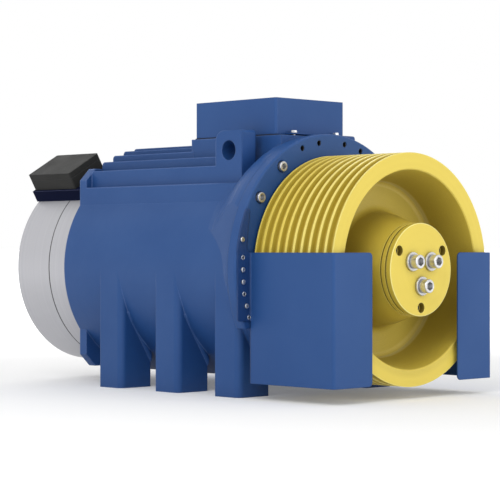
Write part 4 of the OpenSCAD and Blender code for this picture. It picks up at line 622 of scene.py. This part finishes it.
def islandBoxes(name):
    # the boxes of a CAD node's separate solids, in a fixed order
    shape = bmesh.new()
    shape.from_mesh(nodes[name].data)
    bmesh.ops.remove_doubles(shape, verts=shape.verts, dist=weldReach)
    waiting = set(shape.verts)
    boxes = []
    while waiting:
        reach = [waiting.pop()]
        spots = []
        while reach:
            spot = reach.pop()
            spots.append(spot.co.copy())
            for edge in spot.link_edges:
                other = edge.other_vert(spot)
                if other in waiting:
                    waiting.discard(other)
                    reach.append(other)
        boxes.append([Vector([pick(spot[axis] for spot in spots) for axis in range(3)])
                      for pick in (min, max)])
    shape.free()
    return sorted(boxes, key=lambda box: [round(value, 4) for value in (*box[0], *box[1])])


sheave = {
    "radius": 204, "ropeGrooves": 10, "pitch": 18.5, "rope": 10, "ropePlay": 4,
    "seatRadius": 5.3, "seatDepth": 6.2, "undercut": 2, "undercutDepth": 13.9,
    "rimInner": 173.7, "wallFoot": 156, "corner": 9, "recess": 86, "web": 20, "rearRecess": 168,
    "hub": 81.2, "hubFlare": 16, "flareAt": 53, "bore": 42.55, "hubRear": 35.6,
    "fillet": 14, "draft": 4, "chamfer": 2,
    "jointBack": 11, "jointHalf": 1.6, "jointFloor": 1.2, "jointDepth": 3,
    "holeCircle": 66, "holeRadius": 7.35, "holeDepth": 28, "segments": 224,
}


def grooveOutline(size):
    # one groove and half of the lands beside it
    radius, pitch, seat = size["radius"], size["pitch"], size["seatRadius"]
    land = (pitch - size["rope"] - size["ropePlay"]) / 2
    deep = size["seatDepth"]

    def half(side):
        # from the land down to the undercut's floor, before or behind the groove's middle
        points = [(0, side * (pitch / 2 - land)), (deep - 1, side * seat)]
        points += [(deep + seat * math.sin(a), side * seat * math.cos(a))
                   for a in [math.radians(8 * step) for step in range(8)]]
        points += [(deep + seat - 0.4, side * size["undercut"]),
                   (size["undercutDepth"], side * size["undercut"])]
        return [(radius - depth, pitch / 2 + along) for depth, along in points]

    return [(radius, 0)] + half(-1) + half(1)[::-1] + [(radius, pitch)]


def buildSheave(size):
    front = size["pitch"] * size["ropeGrooves"]
    face = (sheaveHigh.x - sheaveLow.x) / mm
    webFront = front - size["recess"]
    webRear = webFront - size["web"]
    hub, rim, back, fillet = size["hub"], size["rimInner"], size["rearRecess"], size["fillet"]
    corner, foot, chamfer, draft = size["corner"], size["wallFoot"], size["chamfer"], size["draft"]
    line = face - size["jointBack"]
    half, floor, deep = size["jointHalf"], size["jointFloor"], size["jointDepth"]
    flare = hub + size["hubFlare"]
    # from the front land into the dish, over the hub to its face, back through the bore and the rear
    rest = [(size["radius"], front), (rim + chamfer, front), (rim, front - chamfer)]
    rest += arcPoints(foot - corner, webFront + corner, corner, 0, -90, 9)
    rest += arcPoints(flare + draft + fillet, webFront + fillet, fillet, 270, 180, 12)
    rest += [(flare, front - size["flareAt"]), (hub, line - 6)]
    rest += [(hub, line - half), (hub - deep, line - floor), (hub - deep, line + floor),
             (hub, line + half), (hub, face - 2), (hub - deep, face - half), (hub - deep, face)]
    rest += [(size["bore"], face), (size["bore"], size["hubRear"]), (hub - 6, size["hubRear"])]
    rest += arcPoints(hub + draft + fillet, webRear - fillet, fillet, 180, 90, 10)
    rest += arcPoints(back - chamfer - fillet, webRear - fillet, fillet, 90, 0, 10)
    rest += [(back, chamfer), (back + chamfer, 0), (size["radius"], 0)]
    base = outlineMesh("sheaveOutline", "repeats", [(grooveOutline(size), False), (rest, False)])
    piece = grow("groovedSheave", base, ringedBody, {
        "Ring Count": size["ropeGrooves"], "Ring Pitch": size["pitch"] * mm,
        "Segments": size["segments"], "Hole Circle": size["holeCircle"] * mm,
        "Hole Radius": size["holeRadius"] * mm, "Hole Floor": (face - size["holeDepth"]) * mm,
        "Finish": finishes["yellow_sheave"]})
    settleOnShaft(piece, "traction_sheave")
    print("sheave:", len(piece.data.polygons), "faces")


buildSheave(sheave)

endPlate = {"radius": 81.1, "thickness": 11, "edge": 1.6, "step": 2.4, "stepEnd": 1.8,
            "holeRadius": 9, "segments": 160}


def buildEndPlate(size):
    radius, high, edge = size["radius"], size["thickness"], size["edge"]
    neck = radius - size["step"]
    outline = ([(0, 0), (neck, 0), (neck, 1), (radius, size["stepEnd"])]
               + arcPoints(radius - edge, high - edge, edge, 0, 90, 6) + [(0, high)])
    base = outlineMesh("endPlateOutline", "repeats", [([], False), (outline, False)])
    piece = grow("drilledEndPlate", base, ringedBody, {
        "Ring Count": 1, "Segments": size["segments"], "Hole Circle": sheave["holeCircle"] * mm,
        "Hole Radius": size["holeRadius"] * mm, "Hole Floor": -2 * high * mm,
        "Finish": finishes["yellow_enamel"]})
    settleOnShaft(piece, "sheave_end_plate")


buildEndPlate(endPlate)
print("end plate set")

forward = (0, math.pi / 2, 0)
backward = (0, -math.pi / 2, 0)
upward = (0, 0, 0)


def capScrewOutline(size):
    # socket head screw: seat at 0, shank below, head above with a rounded top edge
    head, high, edge, shank, end = (size[key] for key in ("head", "high", "edge", "shank", "length"))
    return ([(0, -end), (shank - 1, -end), (shank, 1 - end), (shank, 0), (head - 0.3, 0), (head, 0.3)]
            + arcPoints(head - edge, high - edge, edge, 0, 90, 5) + [(0, high)])


def washerOutline(size):
    inner, outer, high = size["inner"], size["outer"], size["high"]
    return [(inner + 0.4, 0), (outer - 0.5, 0), (outer, 0.5), (outer, high - 0.8), (outer - 0.8, high),
            (inner + 0.6, high), (inner, high - 0.6), (inner, 0.4)]


def ringOutline(size):
    inner, outer, high = size["inner"], size["outer"], size["high"]
    return [(inner, 0), (outer - 0.15, 0), (outer, 0.15), (outer, high - 0.25), (outer - 0.25, high),
            (inner, high)]


def seatsOf(name, facing):
    # the top of each screw's head or washer: the centre of its box, at the end that it faces
    seats = []
    for low, high in islandBoxes(name):
        seat = (low + high) / 2
        if facing == upward:
            seat.z = high.z
        else:
            seat.x = high.x if facing == forward else low.x
        seats.append(seat)
    return seats


def growSet(name, outline, closed, places, values, standsFor, finishName="zinc_plated"):
    base = outlineMesh(name, "outline", [(outline, closed)], places)
    settle(grow(name, base, turnedSet, dict(values, Finish=finishes[finishName])), standsFor)


def placesOn(node, facing, high):
    # the seats under heads of one height, that far in from the ends of a node's solids
    inward = {forward: (-1, 0, 0), backward: (1, 0, 0), upward: (0, 0, -1)}[facing]
    return [seat + Vector(inward) * high * mm for seat in seatsOf(node, facing)]


keyDepth = 0.42  # height of a socket's floor, as a share of its head


def screwSet(name, node, facing, size, seed=3):
    # socket screws of one size for all of a node's solids
    growSet(name, capScrewOutline(size), False, placesOn(node, facing, size["high"]),
            {"Facing": facing, "Key Width": size["key"] * mm, "Key Floor": size["high"] * keyDepth * mm,
             "Socket": True, "Seed": seed}, node)


def hexagonSet(name, node, facing, size):
    # hexagon screws with a chamfered head on a round washer
    shank, high, length, flat = size["shank"], size["high"], size["length"], size["key"] / 2
    head = size["key"] / math.sqrt(3)
    outline = [(0, -length), (shank - 0.6, -length), (shank, 0.6 - length), (shank, 0), (head, 0),
               (head, high - 0.35 * (head - flat) - 0.3), (flat - 0.2, high), (0, high)]
    growSet(name, outline, False, placesOn(node, facing, high),
            {"Facing": facing, "Key Width": size["key"] * mm, "Key Floor": -2 * length * mm,
             "Hexagon": True}, node)
    ring = {"inner": shank + 0.2, "outer": size["washerRadius"], "high": size["washer"]}
    growSet(name + "Washers", ringOutline(ring), True, placesOn(node, facing, high + size["washer"]),
            {"Facing": facing}, node)


endScrew = {"shank": 8, "head": 12, "high": 15, "length": 42, "key": 14, "edge": 1.6}
flangeScrew = {"shank": 6, "head": 9, "high": 11, "length": 34, "key": 10, "edge": 1.1}
rowScrew = {"shank": 2.5, "head": 4.5, "high": 3, "length": 16.5, "key": 3, "edge": 1.4}
brakeScrew = {"shank": 5, "head": 8, "high": 9.5, "length": 169, "key": 8, "edge": 1.0}
coverScrew = {"shank": 2.5, "head": 4.5, "high": 3, "length": 14, "key": 3, "edge": 0.8}
bracketScrew = {"shank": 3, "head": 5, "high": 3, "length": 13, "key": 4, "edge": 0.8}
innerScrew = {"shank": 5, "head": 8, "high": 8, "length": 16, "key": 8, "edge": 1.0}
hoodScrew = {"shank": 3, "key": 9.9, "high": 3.9, "length": 19.4,
             "washer": 0.9, "washerRadius": 6.15}
bearingScrew = {"shank": 4, "key": 13.2, "high": 5.2, "length": 22.2,
                "washer": 1.2, "washerRadius": 8.2}

screwSet("endPlateScrews", "end_plate_screws", forward, endScrew, seed=5)
screwSet("flangeScrews", "shield_screws", forward, flangeScrew)
screwSet("guardRowScrews", "guard_screws", forward, rowScrew, seed=8)
screwSet("brakeScrews", "brake_screws", backward, brakeScrew)
screwSet("encoderCoverScrews", "encoder_cover_screws", backward, coverScrew)
screwSet("bracketScrews", "bracket_screws", backward, bracketScrew)
screwSet("rearShieldScrews", "rear_shield_screws", backward, innerScrew)
hexagonSet("terminalBoxScrews", "terminal_box_screws", upward, hoodScrew)
hexagonSet("frontCoverScrews", "front_cover_screws", forward, bearingScrew)

washer = {"inner": 8.4, "outer": 16.5, "high": 5}
washerPlaces = placesOn("end_plate_washers", forward, washer["high"])
growSet("endPlateWashers", washerOutline(washer), True, washerPlaces, {"Facing": forward},
        "end_plate_washers")
print("screws and washers set")


def threadOutline(size):
    # the crests of an inside thread, seen as rings between a core and the bore's wall
    outer, core, pitch = size["outer"], size["core"], size["pitch"]
    root, top = outer - 0.25, size["turns"] * pitch
    crests = []
    for turn in range(size["turns"]):
        at = turn * pitch
        crests += [(root, at), (core, at + pitch * 0.45), (core, at + pitch * 0.55)]
    return crests + [(root, top), (outer, top), (outer, 0)]


def addFixture(name, outline, places, body, finishName):
    # a turned piece of the scene's own, which stands for no CAD node
    base = outlineMesh(name, "outline", [(outline, True)], places)
    piece = grow(name, base, turnedSet, {"Facing": forward, "Segments": 32,
                                         "Finish": finishes[finishName]})
    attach(piece, body)


pullThread = {"outer": 7.3, "core": 6.2, "pitch": 2, "turns": 8, "start": 11.5,
              "angles": (30, 150, 270)}
flangeThread = {"outer": 5.05, "core": 4.5, "pitch": 1.75, "turns": 10}
eyelet = {"inner": 2.2, "shank": 2.7, "rim": 4.3, "proud": 0.9, "depth": 2.2,
          "steps": (-1, 2, 4)}  # which holes of the row are open, counted from its first screw


def buildPullThreads(size):
    # in the sheave's three open holes, behind the end plate
    circle = sheave["holeCircle"] * mm
    x = endPlateHigh.x - (size["start"] + size["turns"] * size["pitch"]) * mm
    places = [Vector((x, math.cos(a) * circle, shaftHeight + math.sin(a) * circle))
              for a in [math.radians(angle) for angle in size["angles"]]]
    addFixture("pullThreads", threadOutline(size), places, "rotor", "oiled_steel")


def openRowHoles(steps):
    # the screws of a guard give its row's step; the row's other holes stay open
    spots = [seat for seat in seatsOf("guard_screws", forward) if seat.y < 0]
    spots.sort(key=lambda spot: -spot.z)
    first, second = spots[1], spots[2]  # the highest is the tongue's screw
    angles = [math.atan2(shaftHeight - spot.z, -spot.y) for spot in (first, second)]
    step = angles[1] - angles[0]
    circle = math.hypot(first.y, first.z - shaftHeight)
    sheetFace = first.x - rowScrew["high"] * mm
    places = []
    for turn in steps:
        angle = angles[0] + turn * step
        y, z = math.cos(angle) * circle, shaftHeight - math.sin(angle) * circle
        places += [Vector((sheetFace, -y, z)), Vector((sheetFace, y, z))]
    return places


def buildEyelets(size):
    inner, shank, rim, proud = size["inner"], size["shank"], size["rim"], size["proud"]
    outline = [(inner, -size["depth"]), (shank, -size["depth"]), (shank, 0), (rim, 0), (rim, proud / 2),
               (rim - 0.4, proud), (inner + 0.4, proud), (inner, proud / 2)]
    addFixture("guardEyelets", outline, openRowHoles(size["steps"]), "machine_frame",
               "zinc_plated")


def buildFlangeThreads(size):
    # in the flange's open holes, as the frame's mounts give them
    length = size["turns"] * size["pitch"] * mm
    places = [Vector(mount["pos_m"]) - Vector((length / 2, 0, 0))
              for mount in frame["record"]["mounts"] if mount["kind"] == "threaded_hole"]
    addFixture("flangeThreads", threadOutline(size), places, "machine_frame",
               "oiled_steel")


buildPullThreads(pullThread)
buildFlangeThreads(flangeThread)
buildEyelets(eyelet)
print("threads and eyelets set")

farward = (-math.pi / 2, 0, 0)
# hexagon, corner, bore, thread, nut and ribRadius are shares of a gland's radius, the rest millimetres
glandSize = {"length": 21, "hexagon": 2.5, "corner": 1.41, "flange": 7, "bore": 0.55, "thread": 0.97,
             "nut": 1.08, "dome": 8, "ribs": 26, "ribRadius": 0.055, "depth": 5, "smallRadius": 8}


def buildGland(name, place, radius, facing, standsFor):
    # a hexagon body, a domed nut with grip ribs and a rubber sleeve
    size = glandSize
    flange, top, floor = size["flange"], size["length"], -size["depth"]
    shoulder = top - size["dome"]
    bore, thread, nut, wide = (size[key] * radius for key in ("bore", "thread", "nut", "corner"))
    body = [(bore, floor), (thread, floor), (thread, 0), (wide - 0.6, 0), (wide, 0.6),
            (wide, flange - 1), (wide - 1, flange), (radius, flange), (radius, flange + 0.8),
            (nut, flange + 1.2), (nut, shoulder)]
    body += arcPoints(nut - 6, shoulder, 6, 0, 62, 8)
    body += [(bore + 2.4, top - 1), (bore + 1.6, top - 1.4), (bore + 1.6, top - 6), (bore, top - 6)]
    sleeve = [(bore, floor), (bore + 1.6, top - 6), (bore + 1.5, top - 0.4), (bore + 0.9, top),
              (bore + 0.2, top - 0.2), (bore - 0.5, top - 2), (bore - 0.5, floor)]
    shared = {"Facing": facing, "Seed": 2}
    growSet(name + "Body", body, True, [place],
            {**shared, "Hexagon": True, "Key Width": size["hexagon"] * radius * mm, "Key Floor": -0.01},
            standsFor, "black_plastic")
    growSet(name + "Sleeve", sleeve, True, [place], shared, standsFor, "rubber_seal")
    ribs = bpy.data.meshes.new(name + "Ribs")
    ribs.from_pydata([place], [], [])
    piece = grow(name + "Ribs", ribs, ribRing, {
        "Count": size["ribs"], "Circle": (nut - 0.1) * mm,
        "Rib Radius": size["ribRadius"] * radius * mm, "Rib Base": (flange + 1.4) * mm,
        "Rib Length": (shoulder - flange - 1) * mm, "Facing": facing,
        "Finish": finishes["black_plastic"]})
    settle(piece, standsFor)


for index, (low, high) in enumerate(islandBoxes("cable_glands")):
    across = max(high.x - low.x, high.z - low.z)
    spot = Vector(((low.x + high.x) / 2, high.y - glandSize["length"] * mm, (low.z + high.z) / 2))
    buildGland(f"hoodGland{index + 1}", spot, across / mm * math.sqrt(3) / 2 / glandSize["hexagon"],
               farward, "cable_glands")
low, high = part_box("brake_box_gland")
buildGland("brakeBoxGland", Vector((low.x + glandSize["length"] * mm, *((low + high) / 2).yz)),
           glandSize["smallRadius"], backward, "brake_box_gland")
print("glands set")

stageLook = {"floorSize": 400.0, "floorColor": 0.86, "roughness": 0.9, "glow": 0.16, "fadeStart": 0.9,
             "fadeEnd": 2.6, "skyAmbient": 0.62}
lamps = {
    "keySoftbox": {"place": (1.2, -2.6, 2.3), "size": (2.0, 2.0), "power": 42},
    "fillSoftbox": {"place": (3.1, 0.6, 0.9), "size": (1.6, 1.4), "power": 20.5},
    "backSoftbox": {"place": (-2.6, 1.6, 2.2), "size": (2.0, 2.0), "power": 22},
}
lampAim = (0.0, 0.0, 0.25)
cameraSet = {"place": (2.51105, -2.45945, 0.2629), "aim": (0.00944, 0.0, 0.25876), "lens": 133.4,
             "sensor": 36.0}


def seenDirectly(tree, path, place):
    # 1 for what the camera sees straight or in a reflection
    return mathNode(tree, "MAXIMUM", place, (path, "Is Camera Ray"), (path, "Is Glossy Ray"))


def addToStage(name, data, place, aim):
    # a lamp or camera that looks from its place to its aim
    holder = bpy.data.objects.new(name, data)
    bpy.context.collection.objects.link(holder)
    holder.location = place
    holder.rotation_euler = (Vector(aim) - Vector(place)).to_track_quat("-Z", "Y").to_euler()
    return holder


def buildFloor(look):
    mesh = bpy.data.meshes.new("studioFloor")
    half = look["floorSize"] / 2
    mesh.from_pydata([(-half, -half, 0), (half, -half, 0), (half, half, 0), (-half, half, 0)], [],
                     [(0, 1, 2, 3)])
    floor = bpy.data.objects.new("studioFloor", mesh)
    bpy.context.collection.objects.link(floor)
    made = bpy.data.materials.new("studioPaper")
    made.use_nodes = True
    tree = made.node_tree
    skin = tree.nodes["Principled BSDF"]
    skin.inputs["Base Color"].default_value = (look["floorColor"],) * 3 + (1.0,)
    skin.inputs["Roughness"].default_value = look["roughness"]
    skin.inputs["Emission Color"].default_value = (1, 1, 1, 1)
    path = addNode(tree, "ShaderNodeLightPath", (-500, 300))
    seen = seenDirectly(tree, path, (-300, 300))
    # away from the machine the paper turns as white as the sky
    spot = addNode(tree, "ShaderNodeNewGeometry", (-900, 0))
    far = addNode(tree, "ShaderNodeVectorMath", (-700, 0), {0: (spot, "Position")}, operation="LENGTH")
    fade = addNode(tree, "ShaderNodeMapRange", (-500, 0),
                   {"From Min": look["fadeStart"], "From Max": look["fadeEnd"], "To Min": look["glow"],
                    "Value": (far, "Value")}, interpolation_type="SMOOTHSTEP")
    power = mathNode(tree, "MULTIPLY", (-100, 300), (seen, 0), (fade, "Result"))
    wire(tree, power, 0, skin, "Emission Strength")
    mesh.materials.append(made)


def buildSky(look):
    sky = bpy.data.worlds.new("studioSky")
    bpy.context.scene.world = sky
    sky.use_nodes = True
    tree = sky.node_tree
    light = tree.nodes["Background"]
    light.inputs["Color"].default_value = (1, 1, 1, 1)
    path = addNode(tree, "ShaderNodeLightPath", (-600, 100))
    seen = seenDirectly(tree, path, (-400, 150))
    seen = mathNode(tree, "MAXIMUM", (-300, 50), (seen, 0), (path, "Is Transmission Ray"))
    power = addNode(tree, "ShaderNodeMapRange", (-200, 0),
                    {"To Min": look["skyAmbient"], "Value": (seen, 0)})
    wire(tree, power, "Result", light, "Strength")


def buildLamp(name, size, power, place):
    lamp = bpy.data.lights.new(name, "AREA")
    lamp.shape = "RECTANGLE"
    lamp.size, lamp.size_y = size
    lamp.energy = power
    addToStage(name, lamp, place, lampAim)


def buildCamera(look):
    camera = bpy.data.cameras.new("studioCamera")
    camera.lens = look["lens"]
    camera.sensor_width = look["sensor"]
    bpy.context.scene.camera = addToStage("studioCamera", camera, look["place"], look["aim"])


buildFloor(stageLook)
buildSky(stageLook)
for lampName, lampLook in lamps.items():
    buildLamp(lampName, **lampLook)
buildCamera(cameraSet)
bpy.context.scene.view_settings.view_transform = "Standard"
print("stage, lamps and camera set")
